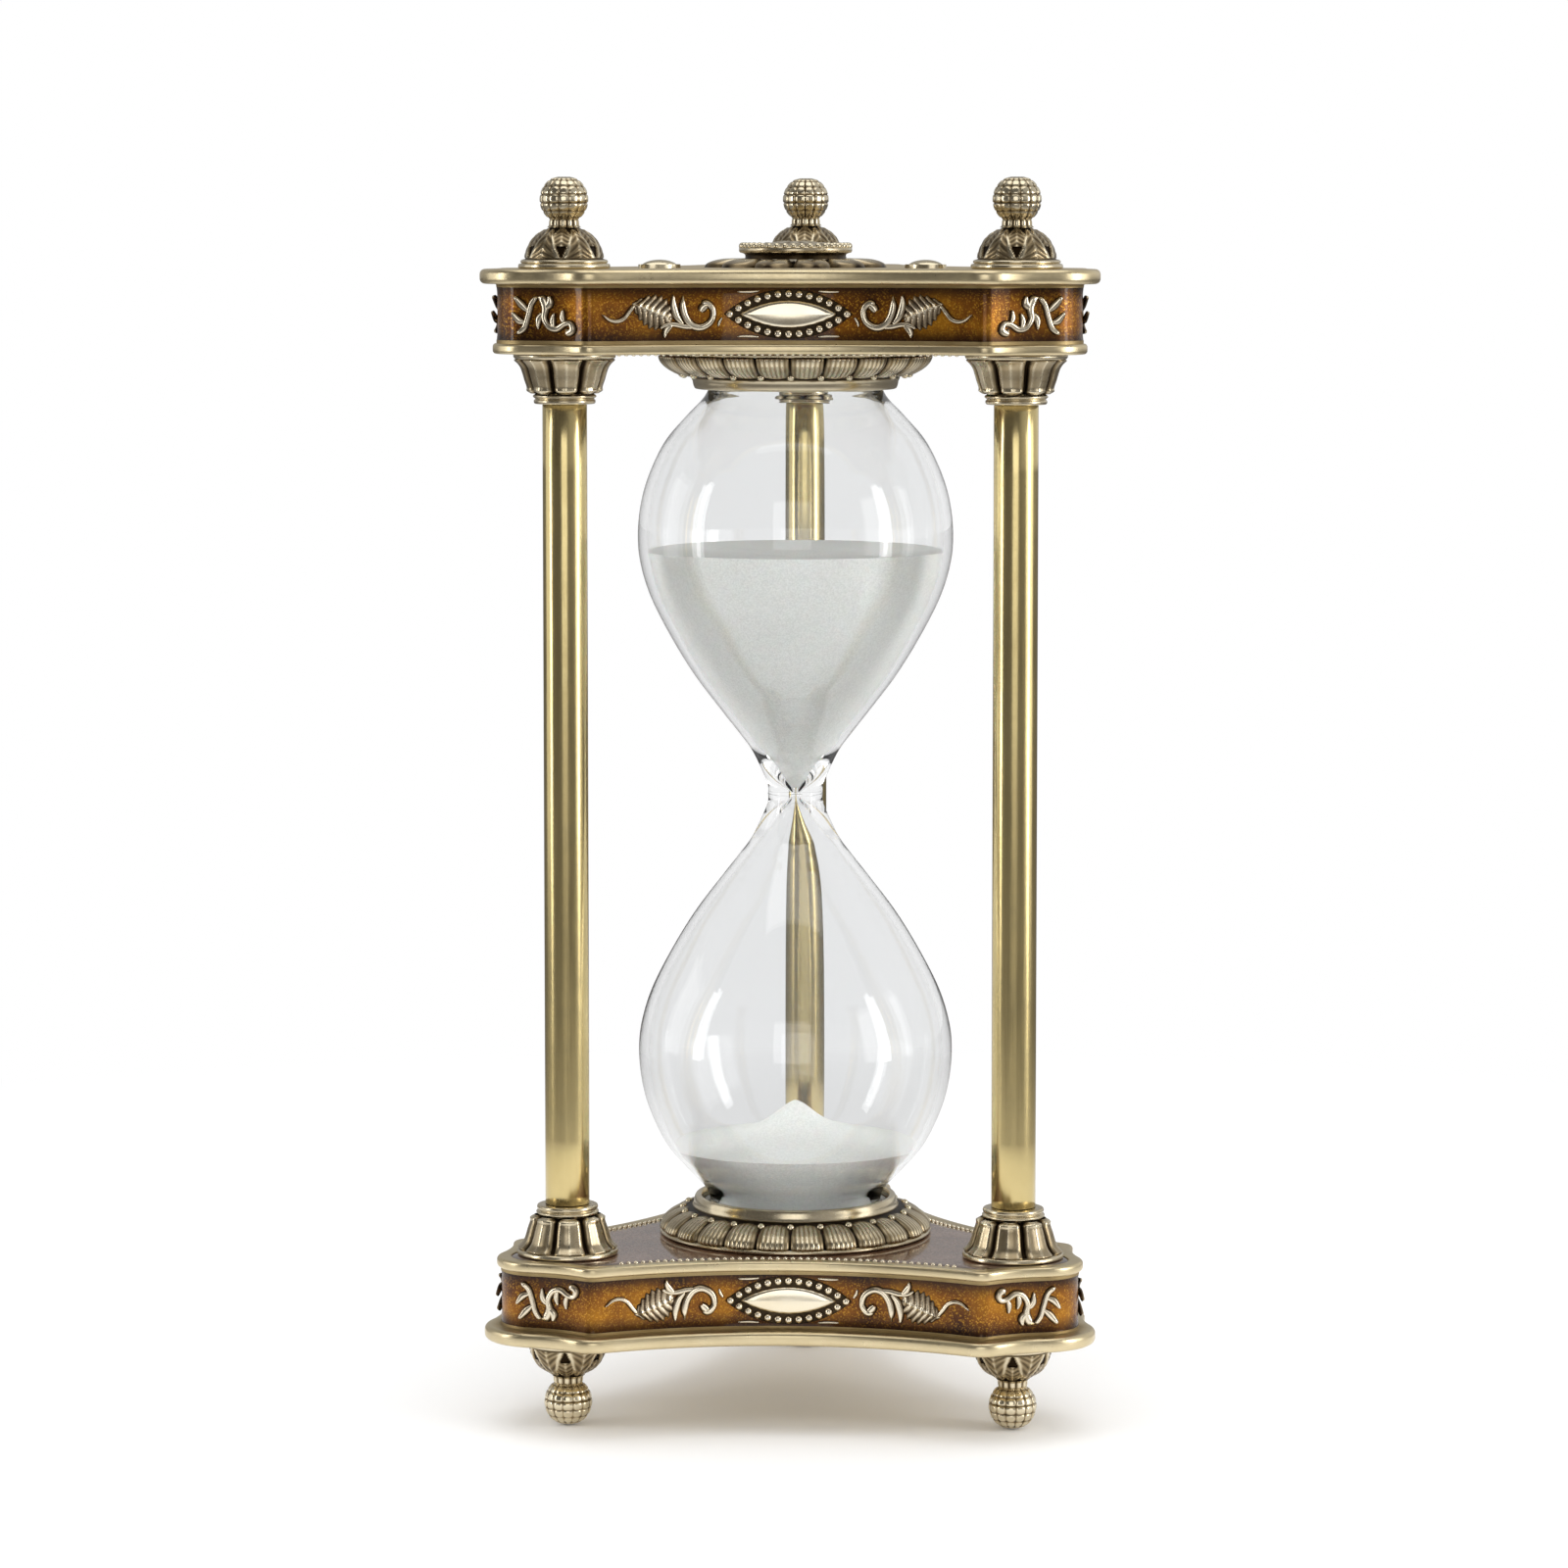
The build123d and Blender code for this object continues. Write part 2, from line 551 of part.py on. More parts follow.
def corner_layer(shape, angle, sign):
    """Bends a sketch round one concave flank of a corner, a little short of the flank's middle."""
    cx, cy = FLANK_CENTRE
    middle = math.degrees(math.atan2(-cy, TIP_CENTRE - cx)) - 14
    normal = polar(1, middle)
    origin = (cx + FLANK_RADIUS * normal[0], cy + FLANK_RADIUS * normal[1], BAND_MIDDLE)
    plane = Plane(origin=origin, x_dir=(-normal[1], normal[0], 0), z_dir=(*normal, 0))
    block = extrude(plane * shape, amount=WIDE_OVERHANG * 2, both=True)
    ring = disc(FLANK_RADIUS, FLANGE_TOP, COVER_BOTTOM, FLANK_CENTRE)
    ring -= disc(FLANK_RADIUS - SCROLL_THICKNESS, FLANGE_TOP, COVER_BOTTOM, FLANK_CENTRE)
    layer = block & ring
    if sign < 0:
        layer = mirror(layer, about=Plane.XZ)
    return Rot(0, 0, angle) * layer


def corner_scroll():
    """S-scroll of a corner flank, a curl at each end."""
    spine = [(-5.6, -2.4), (-3.2, -4.0), (-0.8, -1.4), (1.6, 2.6), (4.6, 3.4), (5.4, 1.0)]
    wave = trace(Spline(*[(x, y * HIGH) for x, y in spine]), line_width=1.2)
    return wave + Pos(-5.2, -1.8 * HIGH) * Circle(1.2) + Pos(5.0, 1.4 * HIGH) * Circle(1.2)


# ---- assembly ----
def build():
    keep_pair("tray", tray())
    keep_pair("band_enamel", band_enamel())
    keep_pair("cover", cover())
    keep_pair("face_enamel", face_enamel())
    keep_pair("glass_cup", cup())
    keep_pair("cup_screws", *[cup_screw(angle) for angle in SIDES.values()])
    keep_pair("glass_pad", glass_pad())
    keep_pair("rosette", rosette())
    keep_pair("medallion", medallion())
    keep_pair("face_cabochons", *[face_cabochon(angle) for angle in CORNERS.values()])
    keep_pair("bead_frames", *[bead_frame(angle) for angle in SIDES.values()])
    keep_pair("side_cabochons", *[side_cabochon(angle) for angle in SIDES.values()])
    keep_pair("side_scrolls", *[s for angle in SIDES.values() for s in side_scrolls(angle)])
    curl = corner_scroll()
    keep_pair("corner_scrolls", *[
        corner_layer(curl, angle, sign) for angle in CORNERS.values() for sign in (1, -1)
    ])

    keep("glass_bulb", glass())
    keep("fill_plug", fill_plug())
    keep("upper_sand", upper_sand())
    keep("lower_sand", lower_sand())

    one_foot = foot()
    one_base = column_base()
    for corner, angle in CORNERS.items():
        x, y = polar(COLUMN_CIRCLE_RADIUS, angle)
        place = Pos(x, y, 0) * Rot(0, 0, angle)
        keep("column_" + corner, column((x, y)))
        keep("tie_rod_" + corner, tie_rod((x, y)))
        keep("foot_" + corner, place * one_foot)
        keep("finial_" + corner, turned_over(place * one_foot))
        keep("base_" + corner, place * one_base)
        keep("capital_" + corner, turned_over(place * one_base))


build()
os.makedirs("parts", exist_ok=True)
for name, shape in PARTS.items():
    export_step(shape, f"parts/{name}.step")
print(len(PARTS), "nodes written")
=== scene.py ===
import math

import bmesh
import bpy
from mathutils import Matrix, Vector, noise


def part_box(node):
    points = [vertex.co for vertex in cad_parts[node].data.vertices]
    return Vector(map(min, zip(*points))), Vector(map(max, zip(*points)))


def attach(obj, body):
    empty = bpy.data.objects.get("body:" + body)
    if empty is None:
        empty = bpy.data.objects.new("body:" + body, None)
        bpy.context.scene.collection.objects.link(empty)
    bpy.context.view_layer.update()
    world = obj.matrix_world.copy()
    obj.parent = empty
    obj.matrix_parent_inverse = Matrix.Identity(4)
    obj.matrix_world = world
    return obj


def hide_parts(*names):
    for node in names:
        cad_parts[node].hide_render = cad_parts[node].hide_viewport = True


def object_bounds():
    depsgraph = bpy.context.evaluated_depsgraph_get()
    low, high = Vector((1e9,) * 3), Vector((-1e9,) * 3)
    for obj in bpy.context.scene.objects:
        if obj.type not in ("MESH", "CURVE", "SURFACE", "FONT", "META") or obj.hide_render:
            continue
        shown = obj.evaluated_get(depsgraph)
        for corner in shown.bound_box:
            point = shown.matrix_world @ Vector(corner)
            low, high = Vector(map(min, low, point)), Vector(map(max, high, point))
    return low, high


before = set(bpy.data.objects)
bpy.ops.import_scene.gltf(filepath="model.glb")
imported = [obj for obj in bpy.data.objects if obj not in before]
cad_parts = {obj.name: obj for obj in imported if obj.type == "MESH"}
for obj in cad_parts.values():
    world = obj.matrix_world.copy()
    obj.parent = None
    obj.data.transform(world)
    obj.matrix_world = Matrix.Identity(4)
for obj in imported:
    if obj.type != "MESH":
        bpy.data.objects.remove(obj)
cad_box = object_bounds()
MM = 0.001

# ---- places and sizes from the frame, in metres ----
MID = (cad_box[0].z + cad_box[1].z) / 2
TRAY_LOW, TRAY_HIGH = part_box("lower_tray")
COVER_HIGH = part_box("lower_cover")[1]
CUP_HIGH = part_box("lower_glass_cup")[1]
COLUMN_LOW, COLUMN_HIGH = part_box("column_back")
GLASS_LOW, GLASS_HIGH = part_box("glass_bulb")
UPPER_SAND_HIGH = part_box("upper_sand")[1]
LOWER_SAND_LOW, LOWER_SAND_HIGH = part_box("lower_sand")
MEDALLION_LOW, MEDALLION_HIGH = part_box("lower_medallion")
CABOCHON_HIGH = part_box("lower_face_cabochons")[1]

PLATE_BOTTOM = TRAY_LOW.z
COVER_BOTTOM = TRAY_HIGH.z
PLATE_TOP = COVER_HIGH.z
COLUMN_CIRCLE = (COLUMN_LOW.y + COLUMN_HIGH.y) / 2
COLUMN_RADIUS = (COLUMN_HIGH.x - COLUMN_LOW.x) / 2
GLASS_RADIUS = GLASS_HIGH.x
CUP_RADIUS = CUP_HIGH.x
WIDE_FLANGE = 3.5 * MM
FLANGE_TOP = PLATE_BOTTOM + WIDE_FLANGE
BAND_MIDDLE = (FLANGE_TOP + COVER_BOTTOM) / 2

# ---- plan shape of the plates ----
WIDE_OVERHANG = 4.0 * MM
NARROW_OVERHANG = 1.0 * MM
BORDER = 3.0 * MM
TIP_RADIUS = 10.0 * MM
TIP_CENTRE = COLUMN_CIRCLE + 6.6 * MM
TIP_HALF_ANGLE = 50
FLANK_RADIUS = 31.0 * MM
SHOULDER_HALF_WIDTH = 20.7 * MM
SHOULDER_ROUND = 3.2 * MM
SIDE_MIDDLE = CUP_RADIUS + 6.0 * MM
CORNERS = {"back": 90, "front_left": 210, "front_right": 330}
SIDES = {"front": 270, "right": 30, "left": 150}
HALVES = ("lower", "upper")


def polar(radius, degrees):
    return Vector((radius * math.cos(math.radians(degrees)), radius * math.sin(math.radians(degrees))))


def spun(point, degrees):
    """A plan point turned about the axis."""
    return Matrix.Rotation(math.radians(degrees), 2) @ Vector(point)


FLANK_CENTRE = Vector((TIP_CENTRE, 0)) + polar(TIP_RADIUS + FLANK_RADIUS, TIP_HALF_ANGLE)


def side_arc():
    """Distance of the centre of a concave side from the axis, and the radius of the side."""
    reach = FLANK_CENTRE.y - SHOULDER_HALF_WIDTH
    shoulder = Vector((FLANK_CENTRE.x - math.sqrt(FLANK_RADIUS**2 - reach**2), SHOULDER_HALF_WIDTH))
    on_side_axis = spun(shoulder, -60)
    rise = on_side_axis.x - SIDE_MIDDLE
    radius = (on_side_axis.y**2 + rise**2) / (2 * rise)
    return SIDE_MIDDLE + radius, radius


SIDE_CENTRE, SIDE_RADIUS = side_arc()


def meeting(centre_a, radius_a, centre_b, radius_b):
    """Meeting point of two circles that lies nearer to the axis."""
    line = centre_b - centre_a
    gap = line.length
    along = (radius_a**2 - radius_b**2 + gap**2) / (2 * gap)
    across = math.sqrt(radius_a**2 - along**2)
    unit = line / gap
    normal = Vector((-unit.y, unit.x))
    middle = centre_a + unit * along
    return min((middle + normal * across, middle - normal * across), key=lambda p: p.length)


def arc_points(centre, radius, start, end, count, hollow):
    """Points and outward normals along the short arc from start to end, the last one left out."""
    a = math.atan2(start.y - centre.y, start.x - centre.x)
    b = math.atan2(end.y - centre.y, end.x - centre.x)
    sweep = (b - a + math.pi) % (2 * math.pi) - math.pi
    rows = []
    for k in range(count):
        t = a + sweep * k / count
        unit = Vector((math.cos(t), math.sin(t)))
        rows.append((centre + unit * radius, -unit if hollow else unit))
    return rows


def base_outline():
    """Plan of the band: points with outward normals, counter-clockwise, for all three corners."""
    side = polar(SIDE_CENTRE, 60)
    rounding = meeting(
        FLANK_CENTRE, FLANK_RADIUS + SHOULDER_ROUND, side, SIDE_RADIUS + SHOULDER_ROUND
    )
    on_flank = FLANK_CENTRE + (rounding - FLANK_CENTRE).normalized() * FLANK_RADIUS
    on_side = side + (rounding - side).normalized() * SIDE_RADIUS
    join = Vector((TIP_CENTRE, 0)) + polar(TIP_RADIUS, TIP_HALF_ANGLE)

    def flip(p):
        return Vector((p.x, -p.y))

    rows = []
    for corner in CORNERS.values():
        for centre, radius, start, end, count, hollow in (
            (flip(rounding), SHOULDER_ROUND, flip(on_side), flip(on_flank), 8, False),
            (flip(FLANK_CENTRE), FLANK_RADIUS, flip(on_flank), flip(join), 16, True),
            (Vector((TIP_CENTRE, 0)), TIP_RADIUS, flip(join), join, 26, False),
            (FLANK_CENTRE, FLANK_RADIUS, join, on_flank, 16, True),
            (rounding, SHOULDER_ROUND, on_flank, on_side, 8, False),
        ):
            rows += arc_points(
                spun(centre, corner), radius, spun(start, corner), spun(end, corner), count, hollow
            )
        next_side = spun(flip(on_side), corner + 120)
        rows += arc_points(spun(side, corner), SIDE_RADIUS, spun(on_side, corner), next_side, 46, True)
    return rows


OUTLINE = base_outline()


def ring(out, z):
    """The outline moved outward by out, at a height."""
    return [Vector((*(p + n * out), z)) for p, n in OUTLINE]


def smooth(low, high, x):
    t = min(1.0, max(0.0, (x - low) / (high - low)))
    return t * t * (3 - 2 * t)


def spline(points, count):
    """Points along a Catmull-Rom curve through tuples of any length."""
    ends = [points[0], *points, points[-1]]
    rows = []
    spans = len(points) - 1
    for k in range(count + 1):
        t = k / count * spans
        i = min(int(t), spans - 1)
        f = t - i
        a, b, c, d = ends[i:i + 4]
        rows.append(tuple(
            0.5 * (2 * q + (r - p) * f + (2 * p - 5 * q + 4 * r - s) * f**2
                   + (3 * q - p - 3 * r + s) * f**3)
            for p, q, r, s in zip(a, b, c, d)
        ))
    return rows


def turned(marks, steps, floor=0.0):
    """Spline of (radius, height) marks in millimetres, given in metres above a floor."""
    return [(radius * MM, floor + height * MM) for radius, height in spline(marks, steps)]


def in_repeat(angle, count, turn=0.0):
    """Place across one of count equal repeats round the axis, from -1 to 1."""
    return ((angle * count / (2 * math.pi) + turn) % 1.0 - 0.5) * 2


# ---- mesh building ----
SMOOTH_LIMIT = math.radians(50)
WELD = 0.001 * MM


def put_in_scene(name, data):
    thing = bpy.data.objects.new(name, data)
    bpy.context.scene.collection.objects.link(thing)
    return thing


class Piece:
    """Collects surfaces of one piece, with a relief value from 0, deep, to 1, high, at each point."""

    def __init__(self, name):
        self.name = name
        self.points = []
        self.relief = []
        self.faces = []

    def add(self, point, relief=0.7):
        self.points.append(Vector(point))
        self.relief.append(relief)
        return len(self.points) - 1

    def grid(self, rows, reliefs, wrap=True):
        """Skins rows of equal length; wrap joins the ends of each row."""
        first = len(self.points)
        width = len(rows[0])
        for row, values in zip(rows, reliefs):
            for point, value in zip(row, values):
                self.add(point, value)
        for i in range(len(rows) - 1):
            a = first + i * width
            for j in range(width if wrap else width - 1):
                k = (j + 1) % width
                self.faces.append((a + j, a + k, a + width + k, a + width + j))

    def patch(self, down, across, shape, wrap=True):
        """Skins a grid; shape(i, j) gives the place and relief of each of its points."""
        cells = [[shape(i, j) for j in range(across)] for i in range(down)]
        places = [[point for point, _ in row] for row in cells]
        self.grid(places, [[value for _, value in row] for row in cells], wrap)

    def sheet(self, edge, relief=0.7, edge_relief=0.7, steps=10):
        """Flat sheet from a ring of points in to the axis, its outer margin in another relief."""
        rows = [
            [Vector((p.x * (1 - k / steps), p.y * (1 - k / steps), p.z)) for p in edge]
            for k in range(steps)
        ]
        self.grid(rows, [[edge_relief] * len(edge)] + [[relief] * len(edge)] * (steps - 1))
        self.fan(rows[-1], (0, 0, edge[0].z), relief)

    def fan(self, ring_points, centre, relief=0.7):
        """Triangles from a ring to a centre point."""
        middle = self.add(centre, relief)
        edge = [self.add(p, relief) for p in ring_points]
        for j, index in enumerate(edge):
            self.faces.append((index, edge[(j + 1) % len(edge)], middle))

    def disc(self, radius, height, segments, relief=0.7):
        """Flat disc about the axis."""
        edge = [(*polar(radius, 360 * j / segments), height) for j in range(segments)]
        self.fan(edge, (0, 0, height), relief)

    def lathe(self, profile, segments, shape=None, centre=(0, 0), relief=0.7):
        """Turns (radius, height) points about an upright axis. shape gives (radius, height, relief)."""
        def cell(i, j):
            angle = 2 * math.pi * j / segments
            r, z, value = shape(*profile[i], angle, i) if shape else (*profile[i], relief)
            return (centre[0] + r * math.cos(angle), centre[1] + r * math.sin(angle), z), value

        self.patch(len(profile), segments, cell)

    def ball(self, centre, radius, squeeze=1.0, across=14, down=8):
        """Small bead, bright all over."""
        def cell(i, j):
            tilt = math.pi * i / down
            angle = 2 * math.pi * j / across
            flat = max(radius * math.sin(tilt), radius * 0.01)
            x, y, z = centre
            up = z + radius * squeeze * math.cos(tilt)
            return (x + flat * math.cos(angle), y + flat * math.sin(angle), up), 1.0

        self.patch(down + 1, across, cell)

    def make(self, material, nodes=(), place=None):
        """Turns the collected surfaces into an object that rides on the frame."""
        mesh = bpy.data.meshes.new(self.name)
        mesh.from_pydata([place @ p if place else p for p in self.points], [], self.faces)
        layer = mesh.attributes.new("relief", "FLOAT", "POINT")
        layer.data.foreach_set("value", self.relief)
        work = bmesh.new()
        work.from_mesh(mesh)
        bmesh.ops.remove_doubles(work, verts=work.verts, dist=WELD)
        bmesh.ops.recalc_face_normals(work, faces=work.faces)
        work.to_mesh(mesh)
        work.free()
        mesh.shade_smooth()
        piece = put_in_scene(self.name, mesh)
        mesh.materials.append(material)
        edges = piece.modifiers.new("edges", "EDGE_SPLIT")
        edges.split_angle = SMOOTH_LIMIT
        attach(piece, "root")
        if nodes:
            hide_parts(*nodes)
        return piece


TURN_OVER = Matrix.Translation((0, 0, 2 * MID)) @ Matrix.Scale(-1, 4, (0, 0, 1))


def half_place(half):
    return TURN_OVER if half == "upper" else Matrix.Identity(4)


# ---- materials ----
class Nodes:
    """Short way to wire a Principled material."""

    def __init__(self, name):
        self.material = bpy.data.materials.new(name)
        self.material.use_nodes = True
        self.tree = self.material.node_tree
        self.shader = self.tree.nodes["Principled BSDF"]
        self.output = self.tree.nodes["Material Output"]

    def new(self, kind, **values):
        node = self.tree.nodes.new(kind)
        for key, value in values.items():
            setattr(node, key, value)
        return node

    def link(self, source, target):
        self.tree.links.new(source, target)

    def set(self, **values):
        for key, value in values.items():
            self.shader.inputs[key.replace("_", " ")].default_value = value

    def coordinates(self, stretch=(1, 1, 1)):
        place = self.new("ShaderNodeTexCoord")
        mapping = self.new("ShaderNodeMapping")
        mapping.inputs["Scale"].default_value = stretch
        self.link(place.outputs["Object"], mapping.inputs["Vector"])
        return mapping.outputs["Vector"]

    def noise(self, scale, detail=3.0, stretch=(1, 1, 1), roughness=0.5):
        node = self.new("ShaderNodeTexNoise")
        node.inputs["Scale"].default_value = scale
        node.inputs["Detail"].default_value = detail
        node.inputs["Roughness"].default_value = roughness
        self.link(self.coordinates(stretch), node.inputs["Vector"])
        return node.outputs["Fac"]

    def ramp(self, source, *stops):
        """Colour ramp; each stop is (place, colour)."""
        node = self.new("ShaderNodeValToRGB")
        elements = node.color_ramp.elements
        while len(elements) < len(stops):
            elements.new(0.5)
        for element, (place, colour) in zip(elements, stops):
            element.position = place
            element.color = (*colour, 1) if len(colour) == 3 else colour
        self.link(source, node.inputs["Fac"])
        return node.outputs["Color"]

    def math(self, operation, a, b):
        node = self.new("ShaderNodeMath", operation=operation)
        for socket, value in zip(node.inputs, (a, b)):
            if isinstance(value, (int, float)):
                socket.default_value = value
            else:
                self.link(value, socket)
        return node.outputs["Value"]

    def mix(self, factor, a, b, blend="MIX"):
        node = self.new("ShaderNodeMix", data_type="RGBA", blend_type=blend)
        for name, value in (("Factor", factor), ("A", a), ("B", b)):
            socket = [s for s in node.inputs if s.name == name and s.enabled][0]
            if isinstance(value, (int, float)):
                socket.default_value = value
            elif isinstance(value, tuple):
                socket.default_value = (*value, 1)
            else:
                self.link(value, socket)
        return [s for s in node.outputs if s.enabled][0]

    def bump(self, height, strength, distance, after=None):
        node = self.new("ShaderNodeBump")
        node.inputs["Strength"].default_value = strength
        node.inputs["Distance"].default_value = distance
        self.link(height, node.inputs["Height"])
        if after:
            self.link(after, node.inputs["Normal"])
        return node.outputs["Normal"]

    def relief(self):
        return self.new("ShaderNodeAttribute", attribute_name="relief").outputs["Fac"]

    def cells(self, scale):
        """Three random values for each cell of a Voronoi pattern."""
        pattern = self.new("ShaderNodeTexVoronoi")
        pattern.inputs["Scale"].default_value = scale
        self.link(self.coordinates(), pattern.inputs["Vector"])
        parts = self.new("ShaderNodeSeparateColor")
        self.link(pattern.outputs["Color"], parts.inputs["Color"])
        return [parts.outputs[name] for name in ("Red", "Green", "Blue")]

    def colour(self, first, second):
        """Base colour as one colour multiplied by another."""
        self.to("Base Color", self.mix(1.0, first, second, "MULTIPLY"))

    def rough(self, source, spread, least):
        self.to("Roughness", self.math("ADD", self.math("MULTIPLY", source, spread), least))

    def to(self, socket, source):
        self.link(source, self.shader.inputs[socket])


def brass(name, dark, middle, bright, rough=0.3, grain=(1, 1, 1), grain_scale=900, grain_depth=0.12):
    """Plated brass: dark patina low in the relief, rubbed bright on top, with a fine grain."""
    n = Nodes(name)
    n.set(Metallic=1.0)
    wear = n.noise(160, 4)
    level = n.math("ADD", n.relief(), n.math("MULTIPLY", n.math("SUBTRACT", wear, 0.5), 0.35))
    colour = n.ramp(level, (0.12, dark), (0.5, middle), (0.92, bright))
    tone = n.ramp(n.noise(38, 2), (0.3, (0.86, 0.86, 0.86)), (0.7, (1, 1, 1)))
    n.colour(colour, tone)
    fine = n.noise(grain_scale, 2, grain)
    spread = n.math("MULTIPLY", n.math("SUBTRACT", fine, 0.5), 0.16)
    dull = n.math("MULTIPLY", n.math("SUBTRACT", 1.0, level), 0.28)
    n.to("Roughness", n.math("ADD", n.math("ADD", spread, dull), rough))
    n.to("Normal", n.bump(fine, grain_depth, 0.05 * MM, n.bump(wear, 0.08, 0.2 * MM)))
    return n.material


def enamel(name, deep, middle, bright, flake, flake_size, metallic, coat):
    """Translucent enamel over glitter: tinted flakes under a clear gloss coat, darkened where the relief is
    low: enamel pooled at the lips, with painted shade in the grooves there.
    """
    n = Nodes(name)
    glint, dull, tilt = n.cells(1 / flake_size)
    body = n.ramp(n.noise(70, 5), (0.30, deep), (0.52, middle), (0.74, bright))
    sparkle = n.ramp(glint, (0.70, (0, 0, 0)), (1.0, (0.75, 0.75, 0.75)))
    # painted shade: low relief darkens the enamel colour in the grooves by the lips, where it also pools
    pooled_and_shaded = n.ramp(n.relief(), (0.0, (0.10, 0.08, 0.07)), (0.6, (1, 1, 1)))
    n.colour(n.mix(sparkle, body, flake), pooled_and_shaded)
    n.set(Metallic=metallic, Coat_Weight=coat, Coat_Roughness=0.05, Coat_IOR=1.5)
    n.rough(dull, 0.2, 0.30)
    n.to("Normal", n.bump(tilt, 0.45, 0.05 * MM))
    n.to("Coat Normal", n.bump(n.noise(240, 2), 0.08, 0.1 * MM))
    return n.material


def polished(name, low, high, rough):
    """Plain polished plating, clouded a little."""
    n = Nodes(name)
    n.set(Metallic=1.0)
    cloud = n.noise(90, 4)
    dull = n.ramp(n.relief(), (0.0, (0.25, 0.17, 0.09)), (0.5, (1, 1, 1)))
    n.colour(n.ramp(cloud, (0.3, low), (0.7, high)), dull)
    n.rough(cloud, 0.12, rough)
    n.to("Normal", n.bump(n.noise(200, 2), 0.03, 0.05 * MM))
    return n.material


def clear_glass():
    n = Nodes("clear_glass")
    n.set(Roughness=0.0, IOR=1.45, Transmission_Weight=1.0)
    tint = n.ramp(n.noise(14, 2), (0.3, (0.895, 0.90, 0.905)), (0.7, (0.915, 0.92, 0.92)))
    n.to("Base Color", tint)
    n.to("Normal", n.bump(n.noise(26, 1, (1, 1, 0.5)), 0.02, 1.2 * MM))
    through = n.new("ShaderNodeBsdfTransparent")
    through.inputs["Color"].default_value = (0.93, 0.94, 0.94, 1)
    path = n.new("ShaderNodeLightPath")
    blend = n.new("ShaderNodeMixShader")
    n.link(path.outputs["Is Shadow Ray"], blend.inputs["Fac"])
    n.link(n.shader.outputs["BSDF"], blend.inputs[1])
    n.link(through.outputs["BSDF"], blend.inputs[2])
    n.link(blend.outputs["Shader"], n.output.inputs["Surface"])
    return n.material


GRAINS_PER_METRE = 3800


def sand_material():
    n = Nodes("white_sand")
    shade, dull, tilt = n.cells(GRAINS_PER_METRE)
    tone = n.ramp(shade, (0.0, (0.74, 0.75, 0.72)), (1.0, (0.90, 0.91, 0.88)))
    drift = n.ramp(n.noise(60, 3), (0.3, (0.95, 0.95, 0.94)), (0.7, (1, 1, 1)))
    n.colour(tone, drift)
    n.rough(dull, 0.2, 0.7)
    n.set(Subsurface_Weight=0.15, Subsurface_Scale=0.002)
    n.to("Normal", n.bump(tilt, 0.25, 0.15 * MM))
    return n.material


def plain_material(name, low, high, scale, rough, metallic=0.0, depth=0.3):
    n = Nodes(name)
    pattern = n.noise(scale, 5)
    n.to("Base Color", n.ramp(pattern, (0.3, low), (0.7, high)))
    n.set(Metallic=metallic)
    n.rough(pattern, 0.2, rough)
    n.to("Normal", n.bump(pattern, depth, 0.1 * MM))
    return n.material


SATIN = brass("satin_brass", (0.30, 0.21, 0.09), (0.60, 0.47, 0.25), (0.78, 0.66, 0.42), 0.27)
COLUMN_BRASS = brass(
    "column_brass", (0.36, 0.26, 0.09), (0.64, 0.50, 0.22), (0.78, 0.64, 0.32), 0.13,
    (1, 1, 0.02), 2600, 0.06,
)
ANTIQUE = brass("antique_brass", (0.022, 0.013, 0.006), (0.34, 0.26, 0.15), (0.80, 0.70, 0.50), 0.19)
ORNAMENT = brass("ornament_brass", (0.030, 0.016, 0.008), (0.40, 0.31, 0.20), (0.90, 0.80, 0.62), 0.20)
GROUND = brass("dark_ground", (0.012, 0.008, 0.006), (0.05, 0.035, 0.02), (0.20, 0.14, 0.08), 0.42)
PALE_GOLD = polished("polished_pale_gold", (0.84, 0.73, 0.52), (0.93, 0.85, 0.68), 0.12)
AMBER = enamel(
    "amber_enamel", (0.06, 0.015, 0.002), (0.24, 0.082, 0.004), (0.48, 0.20, 0.008),
    (0.66, 0.33, 0.03), 0.30 * MM, 0.88, 0.35,
)
MAUVE = enamel(
    "mauve_enamel", (0.085, 0.030, 0.008), (0.17, 0.075, 0.035), (0.27, 0.15, 0.10),
    (0.42, 0.27, 0.18), 0.35 * MM, 0.6, 1.0,
)
GLASS = clear_glass()
SAND = sand_material()
FELT = plain_material("pale_felt", (0.42, 0.41, 0.39), (0.58, 0.57, 0.54), 900, 0.75)
RUBBER = plain_material("plug_rubber", (0.04, 0.04, 0.04), (0.09, 0.09, 0.09), 500, 0.5)
STEEL = plain_material("zinc_steel", (0.36, 0.36, 0.37), (0.58, 0.58, 0.60), 700, 0.25, 1.0, 0.15)


# ---- plates ----
def round_edge(out, low, high, radius, steps=5):
    """Profile of a flange edge: from its underside round to its upper side, as (out, height)."""
    points = []
    for k in range(steps + 1):
        t = math.pi / 2 * k / steps
        points.append((out - radius + radius * math.sin(t), low + radius - radius * math.cos(t)))
    for k in range(steps + 1):
        t = math.pi / 2 * k / steps
        points.append((out - radius + radius * math.cos(t), high - radius + radius * math.sin(t)))
    return points


def skin(piece, profile, reliefs):
    """Sweeps a profile of (out, height) round the plan."""
    rows = [ring(out, z) for out, z in profile]
    piece.grid(rows, [[value] * len(OUTLINE) for value in reliefs])


LIP = 0.8 * MM
GROOVE = 0.55 * MM
WIDE_EDGE_ROUND = 1.25 * MM
NARROW_EDGE_ROUND = 0.85 * MM
UNDERSIDE_MARGIN = 2.2 * MM
ENAMEL_SINK = 0.15 * MM
ENAMEL_PULL = 0.18 * MM
FACE_SINK = 0.12 * MM


